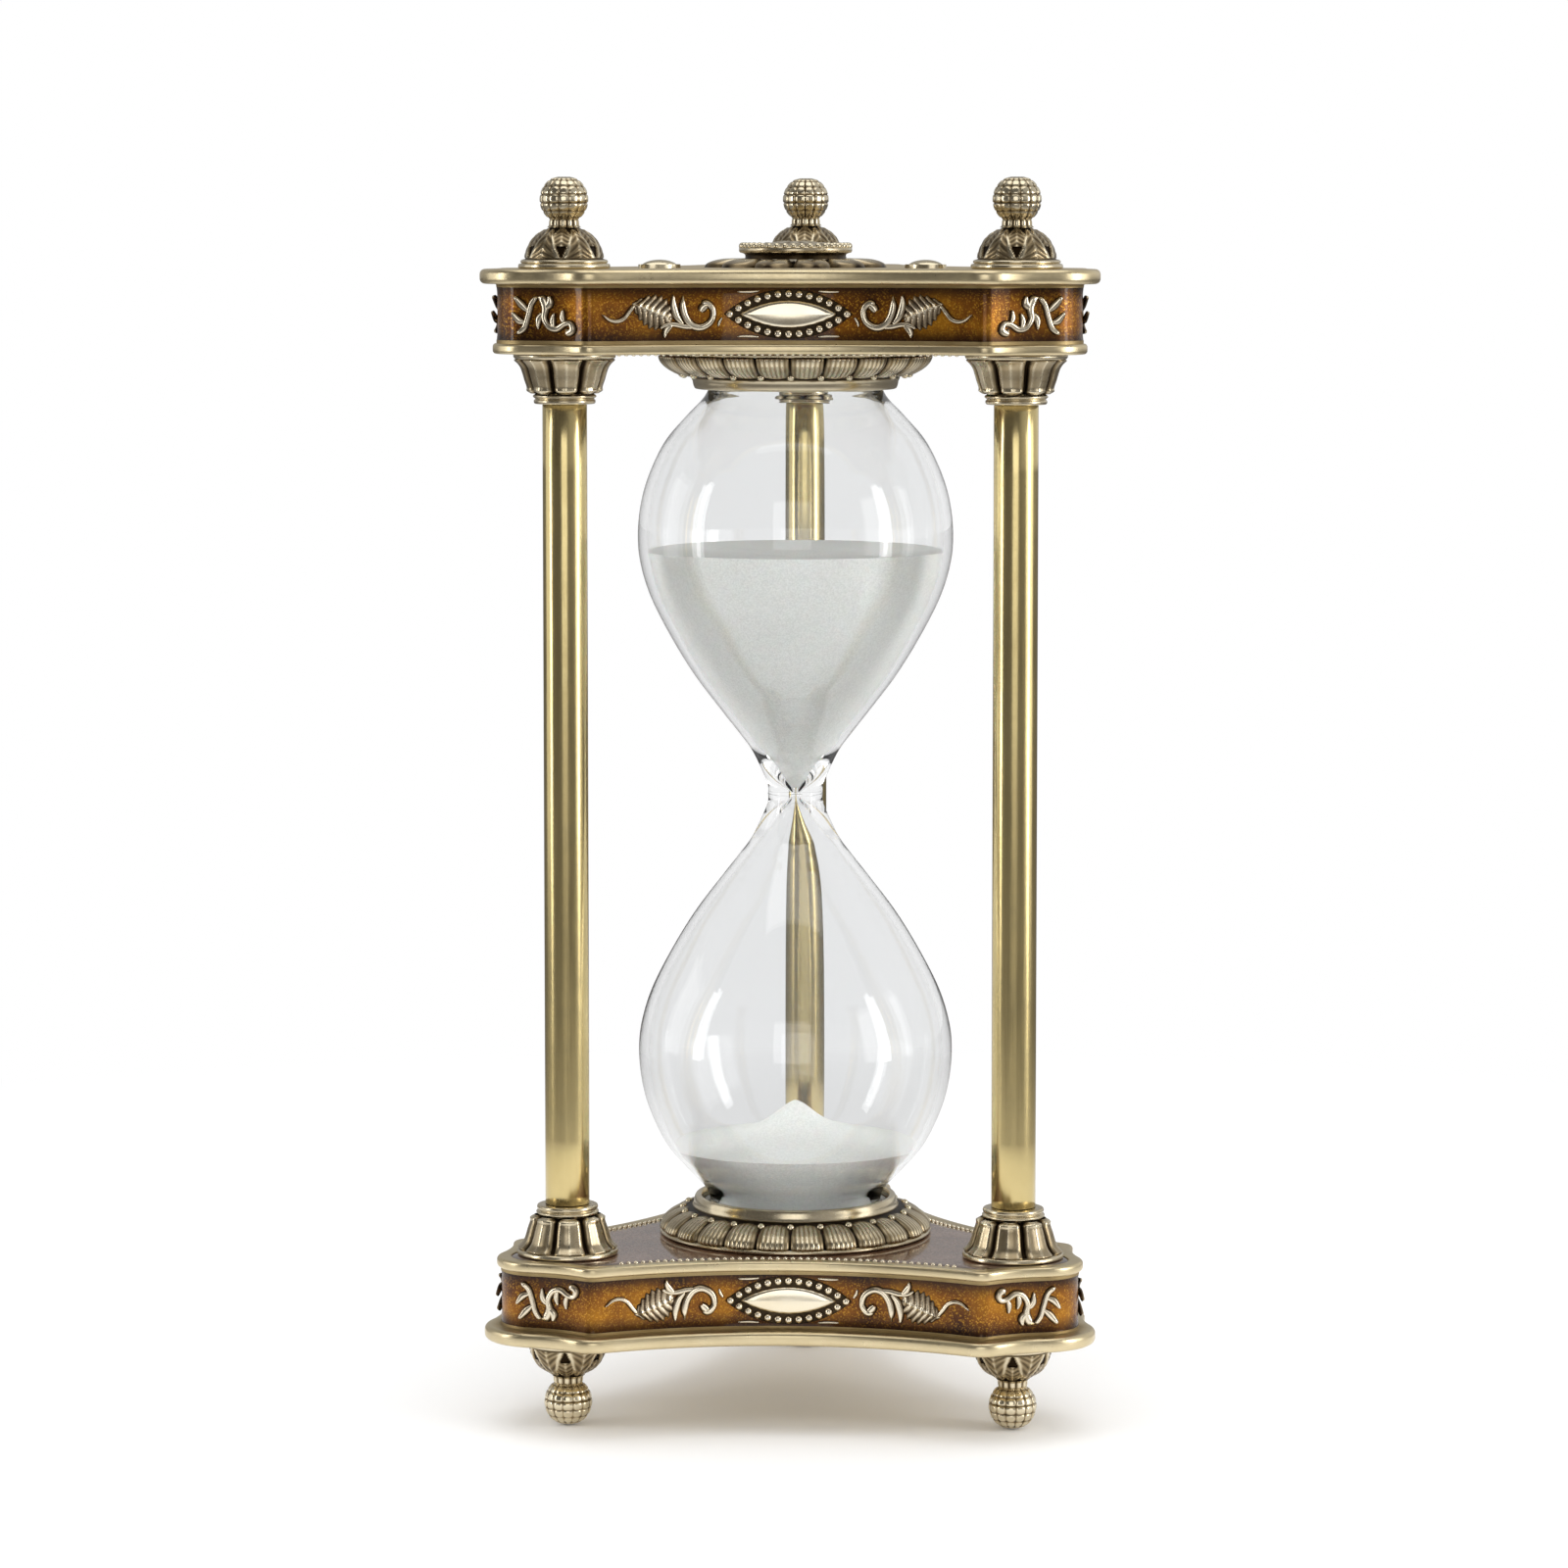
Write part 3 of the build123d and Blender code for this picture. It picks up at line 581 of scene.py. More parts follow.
def build_casting(half):
    """Wide flange and the metal lips that frame the enamel band."""
    piece = Piece(f"{half}_casting")
    edge = round_edge(WIDE_OVERHANG, PLATE_BOTTOM, FLANGE_TOP, WIDE_EDGE_ROUND)
    inner = [(WIDE_OVERHANG - UNDERSIDE_MARGIN, PLATE_BOTTOM)]
    foot = [
        (0.7 * MM, FLANGE_TOP), (0.25 * MM, FLANGE_TOP + 0.1 * MM), (0.1 * MM, FLANGE_TOP + 0.35 * MM),
        (0.1 * MM, FLANGE_TOP + LIP), (-GROOVE, FLANGE_TOP + LIP),
    ]
    head = [(-GROOVE, COVER_BOTTOM - LIP), (0.1 * MM, COVER_BOTTOM - LIP), (0.1 * MM, COVER_BOTTOM)]
    profile = inner + edge + foot + head
    reliefs = [0.7] + [0.85] * len(edge) + [0.35, 0.1, 0.1, 0.2, 0.05] + [0.05, 0.2, 0.3]
    skin(piece, profile, reliefs)
    piece.sheet(ring(*inner[0]), 0.6, 0.7)
    piece.make(SATIN, [f"{half}_tray"], half_place(half))


def build_band_enamel(half):
    """Enamel poured between the lips, pulled up a little at its edges."""
    piece = Piece(f"{half}_amber_band")
    low, high = FLANGE_TOP + LIP, COVER_BOTTOM - LIP
    steps = 12
    profile = [(-GROOVE, low)]
    for k in range(steps + 1):
        t = k / steps
        pull = ENAMEL_PULL * (2 * t - 1) ** 6
        profile.append((-ENAMEL_SINK + pull, low + (high - low) * t))
    profile.append((-GROOVE, high))
    # low relief on the top and bottom rows darkens the enamel by the lips: painted shade in the grooves, with
    # pooling
    edge = [0.0, 0.0, 0.12, 0.32, 0.5]
    skin(piece, profile, edge + [0.8] * (len(profile) - 2 * len(edge)) + edge[::-1])
    piece.make(AMBER, [f"{half}_band_enamel"], half_place(half))


def build_cover(half):
    """Narrow flange with its flat border, down to the recess of the face enamel."""
    piece = Piece(f"{half}_narrow_flange")
    edge = round_edge(NARROW_OVERHANG, COVER_BOTTOM, PLATE_TOP, NARROW_EDGE_ROUND)
    inner = [(-1.5 * MM, COVER_BOTTOM)]
    border = [
        (-0.6 * MM, PLATE_TOP), (-BORDER + 0.9 * MM, PLATE_TOP),
        (-BORDER + 0.55 * MM, PLATE_TOP - 0.1 * MM), (-BORDER + 0.4 * MM, PLATE_TOP - 0.45 * MM),
    ]
    profile = inner + edge + border
    skin(piece, profile, [0.3] + [0.85] * len(edge) + [0.8, 0.75, 0.4, 0.1])
    piece.make(SATIN, [f"{half}_cover"], half_place(half))


def build_face_enamel(half):
    """Pearly brown enamel of the inner face."""
    piece = Piece(f"{half}_mauve_face")
    level = PLATE_TOP - FACE_SINK
    # low relief on the outer margin darkens the face enamel by the border: painted shade in the recess
    skin(piece, [(-BORDER + 0.5 * MM, PLATE_TOP - 0.3 * MM), (-BORDER, level)], [0.05, 0.2])
    piece.sheet(ring(-BORDER, level), 0.6, 0.2)
    piece.make(MAUVE, [f"{half}_face_enamel"], half_place(half))


def build_border_beads(half):
    """Row of small beads along the concave edges of the inner face."""
    piece = Piece(f"{half}_border_beads")
    pitch = 1.75 * MM
    reach = 40 * MM
    count = int(2 * reach / pitch)
    for side in SIDES.values():
        for k in range(count + 1):
            swing = (k - count / 2) * pitch / SIDE_RADIUS
            radius = SIDE_RADIUS + BORDER + 0.2 * MM
            along = Vector((radius * math.sin(swing), -(SIDE_CENTRE - radius * math.cos(swing))))
            x, y = spun(along, side - 270)
            piece.ball((x, y, PLATE_TOP - FACE_SINK), 0.58 * MM, 0.9, 10, 6)
    piece.make(ORNAMENT, (), half_place(half))


# ---- feet and finials ----
def build_foot_mesh(piece):
    """Ball with a grid of raised beads, fluted neck, petalled dome and base ring, tip at zero height."""
    ball = 5.55 * MM
    middle = 5.7 * MM
    rest = 1.5 * MM
    around = 14
    courses = 7
    start = math.asin(rest / ball)
    rows = 56
    profile = [(start + (math.radians(148) - start) * k / rows, k) for k in range(rows + 1)]

    def bead_shape(t, _, angle, __):
        lon = abs(math.sin(angle * around / 2))
        lat = abs(math.sin((t - start) / (math.radians(160) - start) * math.pi * courses))
        pad = min(1.0, 1.25 * (lon * lat) ** 0.5)
        fade = smooth(0, math.radians(22), t - start)
        lift = (0.45 * math.sin(pad * math.pi / 2) - 0.20) * MM * fade
        r = ball + lift
        return r * math.sin(t), middle - r * math.cos(t), 0.22 + 0.78 * smooth(0.10, 0.85, pad)

    piece.lathe(profile, 128, bead_shape)
    bottom = [bead_shape(start, 0, 2 * math.pi * j / 64, 0) for j in range(64)]
    level = bottom[0][1]
    piece.fan([(r * math.cos(2 * math.pi * j / 64), r * math.sin(2 * math.pi * j / 64), level)
               for j, (r, _, _) in enumerate(bottom)], (0, 0, level), 0.8)

    neck = spline([(3.0, 10.0), (3.35, 10.6), (3.45, 11.2), (3.5, 11.8), (3.95, 12.3)], 18)

    def neck_shape(radius, height, angle, _):
        flute = abs(math.cos(angle * 6))
        return (radius + 0.4 * (flute - 0.7)) * MM, height * MM, 0.1 + 0.9 * flute

    piece.lathe(neck, 96, neck_shape)

    dome = spline([
        (3.95, 12.3), (4.8, 12.9), (6.1, 13.7), (7.3, 14.8), (8.2, 16.2), (8.8, 17.6), (9.1, 18.6),
        (9.25, 19.4),
    ], 60)
    petals = 6

    def petal_shape(radius, height, angle, row):
        """Two layers of pointed leaves with raised edges and slanting veins, points at the neck."""
        t = row / 60
        value = 0.02
        lift = 0.0
        for turn, low, high, rise in ((0.5, 0.0, 0.62, 0.45), (0.0, 0.10, 1.0, 0.80)):
            across = abs(in_repeat(angle, petals, turn))
            along = (t - low) / (high - low)
            if not 0 < along <= 1:
                continue
            d = across / (0.98 * along**0.62)
            if d < 1:
                rim = math.exp(-(((d - 0.84) / 0.13) ** 2))
                spine = math.exp(-((across / 0.07) ** 2))
                vein = 0.5 + 0.5 * math.cos((along * 5.0 - across * 2.2) * 2 * math.pi)
                here = rise * (0.35 + 0.35 * (1 - d**2) + 0.35 * rim + 0.15 * vein * (1 - rim))
                lift = max(lift, here)
                value = 0.22 + 0.30 * vein * (1 - rim) + 0.75 * rim + 0.35 * spine
        return (radius + lift - 0.45) * MM, height * MM, min(1.0, value)

    piece.lathe(dome, 192, petal_shape)
    base = spline([
        (9.25, 19.4), (9.3, 19.7), (9.9, 19.85), (10.3, 20.1), (10.35, 20.5), (10.1, 20.7),
        (10.75, 20.9), (10.9, 21.3), (10.9, 21.7), (10.6, 22.0),
    ], 27)

    def ring_shape(radius, height, *_):
        return radius * MM, height * MM, 0.9 if radius > 10 else 0.3

    piece.lathe(base, 96, ring_shape)


def build_feet():
    for corner, angle in CORNERS.items():
        for name, node, half in (("foot", "foot_", "lower"), ("finial", "finial_", "upper")):
            piece = Piece(f"{name}_ball_{corner}")
            build_foot_mesh(piece)
            x, y = polar(COLUMN_CIRCLE, angle)
            turn = Matrix.Translation((x, y, 0)) @ Matrix.Rotation(math.radians(angle), 4, "Z")
            piece.make(ANTIQUE, [node + corner], half_place(half) @ turn)


# ---- columns ----
def build_base_mesh(piece):
    """Stepped ring, eight broad hollow petals and a collar, standing on zero height."""
    petals = 8
    foot = [(11.4, 0.0), (12.1, 0.15), (12.15, 0.7), (11.9, 1.15), (11.3, 1.35)]
    piece.lathe(turned(foot, 12), 96, relief=0.85)
    body = spline([
        (11.3, 1.35), (11.35, 1.7), (10.6, 2.4), (9.9, 3.4), (9.4, 4.8), (9.0, 6.2), (8.5, 7.6),
        (7.9, 8.8), (7.4, 9.5),
    ], 54)

    def petal_shape(radius, height, angle, row):
        t = row / 54
        across = abs(in_repeat(angle, petals))
        end = smooth(0.84, 0.97, t)
        width = 0.90 * (1 - 0.35 * end**2)
        crown = math.sqrt(max(0.0, 1 - min(1.0, across / width) ** 2))
        flute = smooth(width - 0.08, width + 0.06, across) * smooth(0.0, 0.12, t)
        rib = math.exp(-((across / 0.07) ** 2)) + math.exp(-(((across - 0.62) / 0.06) ** 2))
        curl = math.exp(-(((t - 0.88) / 0.07) ** 2))
        lift = 0.85 * crown - 0.35 - 0.75 * flute + 0.10 * rib + 0.55 * curl * crown
        value = 0.32 + 0.30 * crown + 0.25 * rib + 0.35 * curl * crown - 0.8 * flute
        return (radius + lift) * MM, height * MM, min(1.0, max(0.0, value))

    piece.lathe(body, 224, petal_shape)
    tube = COLUMN_RADIUS / MM
    collar = [
        (6.9, 9.4), (7.1, 9.7), (7.45, 9.9), (7.5, 10.3), (7.1, 10.6), (7.0, 10.8), (7.3, 11.1),
        (7.3, 11.6), (6.9, 11.95), (tube, 12.0),
    ]
    piece.lathe(turned(collar, 36), 96, relief=0.8)


def build_columns():
    for corner, angle in CORNERS.items():
        x, y = polar(COLUMN_CIRCLE, angle)
        turn = Matrix.Rotation(math.radians(angle), 4, "Z")
        for name, half in (("base", "lower"), ("capital", "upper")):
            piece = Piece(f"{name}_petals_{corner}")
            build_base_mesh(piece)
            place = half_place(half) @ Matrix.Translation((x, y, PLATE_TOP)) @ turn
            piece.make(ANTIQUE, [f"{name}_{corner}"], place)
        tube = Piece(f"tube_{corner}")
        soft = 0.25 * MM
        low, high = COLUMN_LOW.z, COLUMN_HIGH.z
        profile = [(COLUMN_RADIUS - soft, low), (COLUMN_RADIUS, low + soft)]
        profile += [(COLUMN_RADIUS, low + (high - low) * k / 12) for k in range(1, 12)]
        profile += [(COLUMN_RADIUS, high - soft), (COLUMN_RADIUS - soft, high)]
        tube.lathe(profile, 128, centre=(x, y), relief=0.75)
        tube.make(COLUMN_BRASS, [f"column_{corner}"])


# ---- cups ----
def build_cup(half):
    """Base ring, twenty-four ribbed scallop lobes with beads between their tips, and the plain rim."""
    piece = Piece(f"{half}_scallop_cup")
    wide = CUP_RADIUS / MM
    lobes = 24
    foot = [(wide - 0.6, 0.0), (wide, 0.3), (wide - 0.05, 0.8), (wide - 0.6, 1.15)]
    piece.lathe(turned(foot, 12, PLATE_TOP), 192, relief=0.8)
    body = spline([
        (wide - 0.6, 1.15), (wide - 0.4, 1.7), (wide - 1.0, 3.0), (wide - 2.5, 4.4), (wide - 4.6, 5.6),
        (wide - 6.0, 6.1), (wide - 7.0, 6.4), (wide - 7.7, 6.6), (wide - 8.0, 6.9),
    ], 56)

    def lobe_shape(radius, height, angle, row):
        t = row / 56
        across = in_repeat(angle, lobes)
        along = (t - 0.03) / 0.62
        lift = -0.75
        value = 0.04
        if 0 <= along <= 1:
            width = 0.95 * (1 - max(0.0, (along - 0.45) / 0.55) ** 2.4) ** 0.5
            d = abs(across) / max(width, 0.04)
            if d < 1:
                crown = (1 - d**2.6) ** 0.5
                rib = 0.5 + 0.5 * math.cos(across * math.pi * 7.0)
                lift = -0.60 + 0.85 * crown + 0.28 * rib * crown
                value = 0.18 + 0.30 * crown + 0.60 * rib * crown
        elif along > 1:
            back = smooth(1.15, 1.5, along)
            lift += 0.75 * back
            value += 0.55 * back
        return (radius + lift) * MM, PLATE_TOP + height * MM, min(1.0, value)

    piece.lathe(body, lobes * 28, lobe_shape)
    top = (CUP_HIGH.z - PLATE_TOP) / MM
    rim = [
        (wide - 8.0, 6.9), (wide - 8.25, 7.5), (wide - 8.4, 8.3), (wide - 8.7, top - 0.25),
        (wide - 9.1, top), (wide - 9.7, top), (wide - 10.2, top - 0.4), (wide - 10.4, top - 2.0),
    ]
    piece.lathe(turned(rim, 28, PLATE_TOP), 128, relief=0.85)
    for k in range(lobes):
        x, y = polar((wide - 5.6) * MM, k * 360 / lobes)
        piece.ball((x, y, PLATE_TOP + 5.75 * MM), 0.90 * MM)
    piece.make(ANTIQUE, [f"{half}_glass_cup"], half_place(half))


# ---- glass and sand ----
GLASS_WALL = 2.2 * MM
HALF_GLASS = MID - GLASS_LOW.z
SEAT_RADIUS = 21.0 * MM
NECK_RADIUS = 6.0 * MM
BORE = 1.2 * MM
SAND_SEGMENTS = 144


def bulb_profile(inset, neck, end, count=110):
    """Half profile of the bulb from the waist down, as (radius, drop below the middle)."""
    g, h, seat = GLASS_RADIUS, HALF_GLASS, SEAT_RADIUS
    marks = [
        (neck, 0.0), (neck * 1.04, 0.012 * h), (1.7 * NECK_RADIUS - inset, 0.095 * h),
        (0.355 * g - inset, 0.141 * h), (0.46 * g - inset, 0.19 * h), (0.64 * g - inset, 0.277 * h),
        (0.791 * g - inset, 0.367 * h), (0.917 * g - inset, 0.458 * h), (0.982 * g - inset, 0.535 * h),
        (g - inset, 0.60 * h), (0.982 * g - inset, 0.673 * h), (0.93 * g - inset, 0.742 * h),
        (0.83 * g - inset, 0.818 * h), (0.70 * g - inset, 0.875 * h), (0.595 * g - inset, 0.915 * h),
        (seat + 0.4 * MM - inset, 0.935 * h), (seat - inset, 0.950 * h), (seat - inset, end - 1.2 * MM),
        (seat - inset - 1.2 * MM, end),
    ]
    return spline(marks, count)


def full_profile(inset, neck, end):
    half = bulb_profile(inset, neck, end)
    lower = [(r, MID - drop) for r, drop in reversed(half)]
    upper = [(r, MID + drop) for r, drop in half[1:]]
    return lower + upper


def build_glass():
    """Outer wall with the thick ring at the waist, and inner wall facing the hollow."""
    piece = Piece("blown_glass")
    outer = []
    for r, z in full_profile(0, NECK_RADIUS, HALF_GLASS):
        outer.append((r + 0.75 * MM * math.exp(-(((z - MID) / (1.5 * MM)) ** 2)), z))
    inner = full_profile(GLASS_WALL, BORE, HALF_GLASS - GLASS_WALL)
    segments = 160
    for profile, mark in ((outer, 0.6), (inner, 0.4)):
        piece.lathe(profile, segments, relief=mark)
        for r, z in (profile[0], profile[-1]):
            piece.disc(r, z, segments, mark)
    glass = piece.make(GLASS, ["glass_bulb"])
    work = bmesh.new()
    work.from_mesh(glass.data)
    mark = work.verts.layers.float["relief"]
    for face in work.faces:
        if face.verts[0][mark] < 0.5:
            face.normal_flip()
    work.to_mesh(glass.data)
    work.free()


def cavity_radius(depth):
    """Radius of the sand at a depth from the middle, just clear of the glass."""
    curve = bulb_profile(GLASS_WALL + 0.05 * MM, BORE * 0.9, HALF_GLASS - GLASS_WALL, 300)
    for (r0, d0), (r1, d1) in zip(curve, curve[1:]):
        if d0 <= depth <= d1 and d1 > d0:
            return r0 + (r1 - r0) * (depth - d0) / (d1 - d0)
    return curve[-1][0]


def ripple(x, y, z, size):
    return noise.noise(Vector((x, y, z)) / size)


def build_sand(name, node, levels, rings, surface):
    """Sand against the glass between two levels; surface(t, x, y, angle) gives the height on top."""
    piece = Piece(name)
    wall = [(cavity_radius(abs(z - MID)), z) for z in levels]
    piece.lathe(wall, SAND_SEGMENTS, relief=0.5)
    edge = wall[-1][0]

    def top(radius, _, angle, __):
        x, y = radius * math.cos(angle), radius * math.sin(angle)
        return radius, surface(radius / edge, x, y, angle), 0.5

    piece.lathe([(edge * (1 - k / rings) + 1e-5, 0) for k in range(rings + 1)], SAND_SEGMENTS, top)
    piece.disc(*wall[0], SAND_SEGMENTS)
    piece.make(SAND, [node])


def build_upper_sand():
    """Sand above the neck; its surface is dished and a little uneven."""
    low, level = 2.0 * MM, UPPER_SAND_HIGH.z - MID

    def dish(t, x, y, _):
        sink = 1.0 * MM * (1 - t**2) + 1.2 * MM * math.exp(-((t / 0.16) ** 2))
        wave = 0.35 * MM * ripple(x, y, 0.3, 11 * MM) * (1 - t**4)
        return MID + level - sink + wave

    levels = [MID + low + (level - low) * k / 60 for k in range(61)]
    build_sand("sand_above", "upper_sand", levels, 40, dish)


def build_lower_sand():
    """Heap below the neck: a gentle slope with a small soft cone."""
    floor, edge_level, peak = LOWER_SAND_LOW.z, 64.2 * MM, LOWER_SAND_HIGH.z

    def heap(t, x, y, angle):
        cone = 0.62 * max(0.0, 1 - t) ** 1.15 + 0.38 * math.exp(-((t / 0.2) ** 2))
        slope = (peak - edge_level) * cone
        lean = 1.2 * MM * (1 - t) * t * math.cos(angle - 0.6)
        wave = 0.8 * MM * ripple(x, y, 2.1, 14 * MM) * (1 - t) * smooth(0, 0.2, t)
        return edge_level + slope + lean + wave

    levels = [floor + (edge_level - floor) * k / 40 for k in range(41)]
    build_sand("sand_heap", "lower_sand", levels, 48, heap)


# ---- ornaments of the outer face ----
def build_face_ornaments(half):
    place = half_place(half)
    z = PLATE_BOTTOM
    petals = Piece(f"{half}_rosette_petals")
    wide = 22.6
    count = 12

    def petal_shape(radius, _, angle, row):
        t = row / 48
        across = in_repeat(angle, count)
        reach = (1 - abs(across) ** 2.2) ** 0.5 * 0.28 + 0.72
        r = radius * reach
        body = math.sin(math.pi * min(1.0, t * 1.02)) ** 0.5
        vein = math.exp(-((across / 0.16) ** 2))
        edge = smooth(0.72, 0.98, abs(across))
        rise = (0.2 + 1.9 * body * (1 - 0.70 * edge) - 0.35 * vein * body) * (1 - smooth(0.95, 1.0, t))
        return r * MM, z - rise * MM, max(0.05, 0.75 * body * (1 - edge) + 0.2 - 0.3 * vein)

    petals.lathe([(11.0 + (wide - 11.0) * k / 48, 0) for k in range(49)], 288, petal_shape)
    petals.make(ANTIQUE, [f"{half}_rosette"], place)

    boss = Piece(f"{half}_beaded_medallion")
    seat = MEDALLION_HIGH.z
    top = (seat - MEDALLION_LOW.z) / MM
    outline = spline([
        (12.2, 0.0), (12.2, 0.9), (12.6, 1.3), (13.5, 1.6), (13.7, 2.3), (13.4, 3.0), (12.4, 3.3),
        (11.6, 3.2), (11.0, 3.0), (10.2, 3.3), (9.2, 3.5), (8.4, 3.5), (7.4, 3.9), (6.0, top - 0.5),
        (3.5, top - 0.12), (0.4, top),
    ], 75)

    def boss_shape(radius, height, angle, _):
        flower = 0.0
        value = 0.75 if height > 1.2 else 0.15
        if radius < 11.2:
            across = in_repeat(angle, 10)
            ends = smooth(1.0, 3.0, radius) * (1 - smooth(9.2, 11.0, radius))
            flower = 0.35 * (1 - across**2) * ends
            value = 0.3 + 0.6 * (1 - across**2)
        return radius * MM, seat - (height + flower - 0.30 * (radius < 11.2)) * MM, value

    boss.lathe(outline, 240, boss_shape)
    beads = 40
    for k in range(beads):
        x, y = polar(12.9 * MM, k * 360 / beads)
        boss.ball((x, y, seat - 3.1 * MM), 0.85 * MM, 1.0, 12, 8)
    boss.make(ANTIQUE, [f"{half}_medallion"], place)

    stones = Piece(f"{half}_oval_cabochons")
    half_length, half_width = 5.4 * MM, 3.6 * MM
    circle = CABOCHON_HIGH.y - half_length
    for corner in CORNERS.values():
        centre = polar(circle, corner)
        along = polar(1, corner)
        side = Vector((-along.y, along.x))

        def oval(i, j):
            """Collar bead first, then the dome."""
            t = i / 24
            a = 2 * math.pi * j / 48
            if t < 0.28:
                size, rise = 1 - t * 0.10, 0.9 * math.sin(t / 0.28 * math.pi)
            else:
                swing = (t - 0.28) / 0.72 * math.pi / 2
                size, rise = max(0.9 * math.cos(swing), 0.004), 2.0 * math.sin(swing)
            p = centre + along * (half_length * size * math.cos(a))
            p += side * (half_width * size * math.sin(a))
            return (p.x, p.y, z - rise * MM), 0.35 if 0.2 < t < 0.28 else 0.9

        stones.patch(25, 48, oval)
    stones.make(ANTIQUE, [f"{half}_face_cabochons"], place)


# ---- ornaments of the band ----
def on_side(along, height, out, side):
    """Point on a concave side: along it, up from the band middle and off the band."""
    swing = along / SIDE_RADIUS
    radius = SIDE_RADIUS - out
    x, y = spun((radius * math.sin(swing), -(SIDE_CENTRE - radius * math.cos(swing))), side - 270)
    return (x, y, BAND_MIDDLE + height)


def on_flank(along, height, out, corner, sign):
    """Point on a corner flank: along it from the shoulder towards the tip."""
    start = math.atan2(SHOULDER_HALF_WIDTH - FLANK_CENTRE.y,
                       -math.sqrt(FLANK_RADIUS**2 - (SHOULDER_HALF_WIDTH - FLANK_CENTRE.y) ** 2))
    angle = start + along / FLANK_RADIUS
    radius = FLANK_RADIUS - out
    point = FLANK_CENTRE + Vector((math.cos(angle), math.sin(angle))) * radius
    x, y = spun((point.x, point.y * sign), corner)
    return (x, y, BAND_MIDDLE + height)


SUNK = 0.12  # millimetres that an ornament starts below its surface


def stroke(piece, surface, marks, rise, steps=36, across=8, boldness=1.2):
    """Raised tendril along marks of (along, height, half width), in millimetres, round in section."""
    path = spline(marks, steps)

    def cell(i, k):
        x, y, half = path[i]
        ahead, behind = path[min(i + 1, steps)], path[max(i - 1, 0)]
        dx, dy = ahead[0] - behind[0], ahead[1] - behind[1]
        length = math.hypot(dx, dy) or 1
        nx, ny = -dy / length, dx / length
        t = i / steps
        taper = min(1.0, min(t, 1 - t) * 9 + 0.25)
        half = max(half * boldness, 0.08) * taper
        u = -1 + 2 * k / across
        up = rise * taper * math.sqrt(max(0.0, 1 - u * u))
        place = surface((x + nx * half * u) * MM, (y + ny * half * u) * MM, (up - SUNK) * MM)
        return place, min(1.0, max(0.02, 1.15 * (1 - abs(u) ** 1.6)))

    piece.patch(steps + 1, across + 1, cell, wrap=False)


def leaf(piece, surface, base, tip, half, rise, ribs=6, steps=40, across=12, bend=0.0):
    """Ribbed pointed leaf between two points, in millimetres, with a serrated edge."""
    bx, by = base
    dx, dy = tip[0] - bx, tip[1] - by
    length = math.hypot(dx, dy)
    ux, uy = dx / length, dy / length

    def cell(i, k):
        t = i / steps
        u = -1 + 2 * k / across
        width = half * (math.sin(math.pi * t**0.8) ** 0.75 if 0 < t < 1 else 0.0)
        width *= 1 + 0.10 * math.cos(t * ribs * 2 * math.pi)
        sag = bend * math.sin(math.pi * t)
        x = bx + dx * t - uy * (width * u + sag)
        y = by + dy * t + ux * (width * u + sag)
        rib = 0.5 + 0.5 * math.cos((t + abs(u) * 0.16) * ribs * 2 * math.pi)
        mid = math.exp(-((u / 0.12) ** 2))
        crown = math.sqrt(max(0.0, 1 - u * u))
        ends = min(1, 6 * min(t, 1 - t) + 0.1)
        up = rise * (0.35 * crown + 0.45 * crown * rib + 0.35 * mid) * ends
        return surface(x * MM, y * MM, (up - SUNK) * MM), min(1.0, 0.12 + 0.75 * rib * crown + 0.6 * mid)

    piece.patch(steps + 1, across + 1, cell, wrap=False)


def leaf_scroll(piece, side, hand):
    """Scroll beside the bead frame: curl, feathers, ribbed leaf and a thin tail."""
    def surface(x, y, out):
        return on_side(x * hand, y, out, side)

    stroke(piece, surface, [
        (20.5, -1.4, 0.5), (19.8, -2.5, 0.8), (18.6, -2.2, 0.75), (17.7, -0.5, 0.7), (18.4, 1.8, 0.75),
        (20.6, 3.1, 0.8), (22.8, 2.6, 0.85), (24.3, 0.7, 0.85), (25.0, -1.9, 0.8), (24.9, -4.3, 0.3),
    ], 1.0)
    stroke(piece, surface, [(20.9, -0.6, 0.6), (20.3, -1.4, 0.95), (19.5, -2.1, 0.8)], 1.15, 12)
    stroke(piece, surface, [
        (21.4, 3.1, 0.4), (24.4, 2.9, 0.6), (27.0, 2.4, 0.6), (29.2, 2.6, 0.5), (30.6, 3.4, 0.3),
    ], 0.8)
    stroke(piece, surface, [
        (24.8, 2.5, 0.3), (26.4, 0.6, 0.8), (27.2, -2.0, 0.8), (27.3, -4.7, 0.2),
    ], 0.95, 24)
    stroke(piece, surface, [(27.4, 2.4, 0.3), (28.6, 3.3, 0.8), (29.3, 4.5, 0.6), (29.4, 5.6, 0.15)], 0.9, 16)
    leaf(piece, surface, (27.4, 1.3), (37.2, -2.5), 3.9, 1.05, 7, bend=-0.2)
    stroke(piece, surface, [
        (36.5, -2.4, 0.35), (37.7, -0.9, 0.5), (39.2, 0.9, 0.5), (41.0, 1.6, 0.45), (43.0, 1.2, 0.35),
        (44.7, -0.1, 0.12),
    ], 0.7)


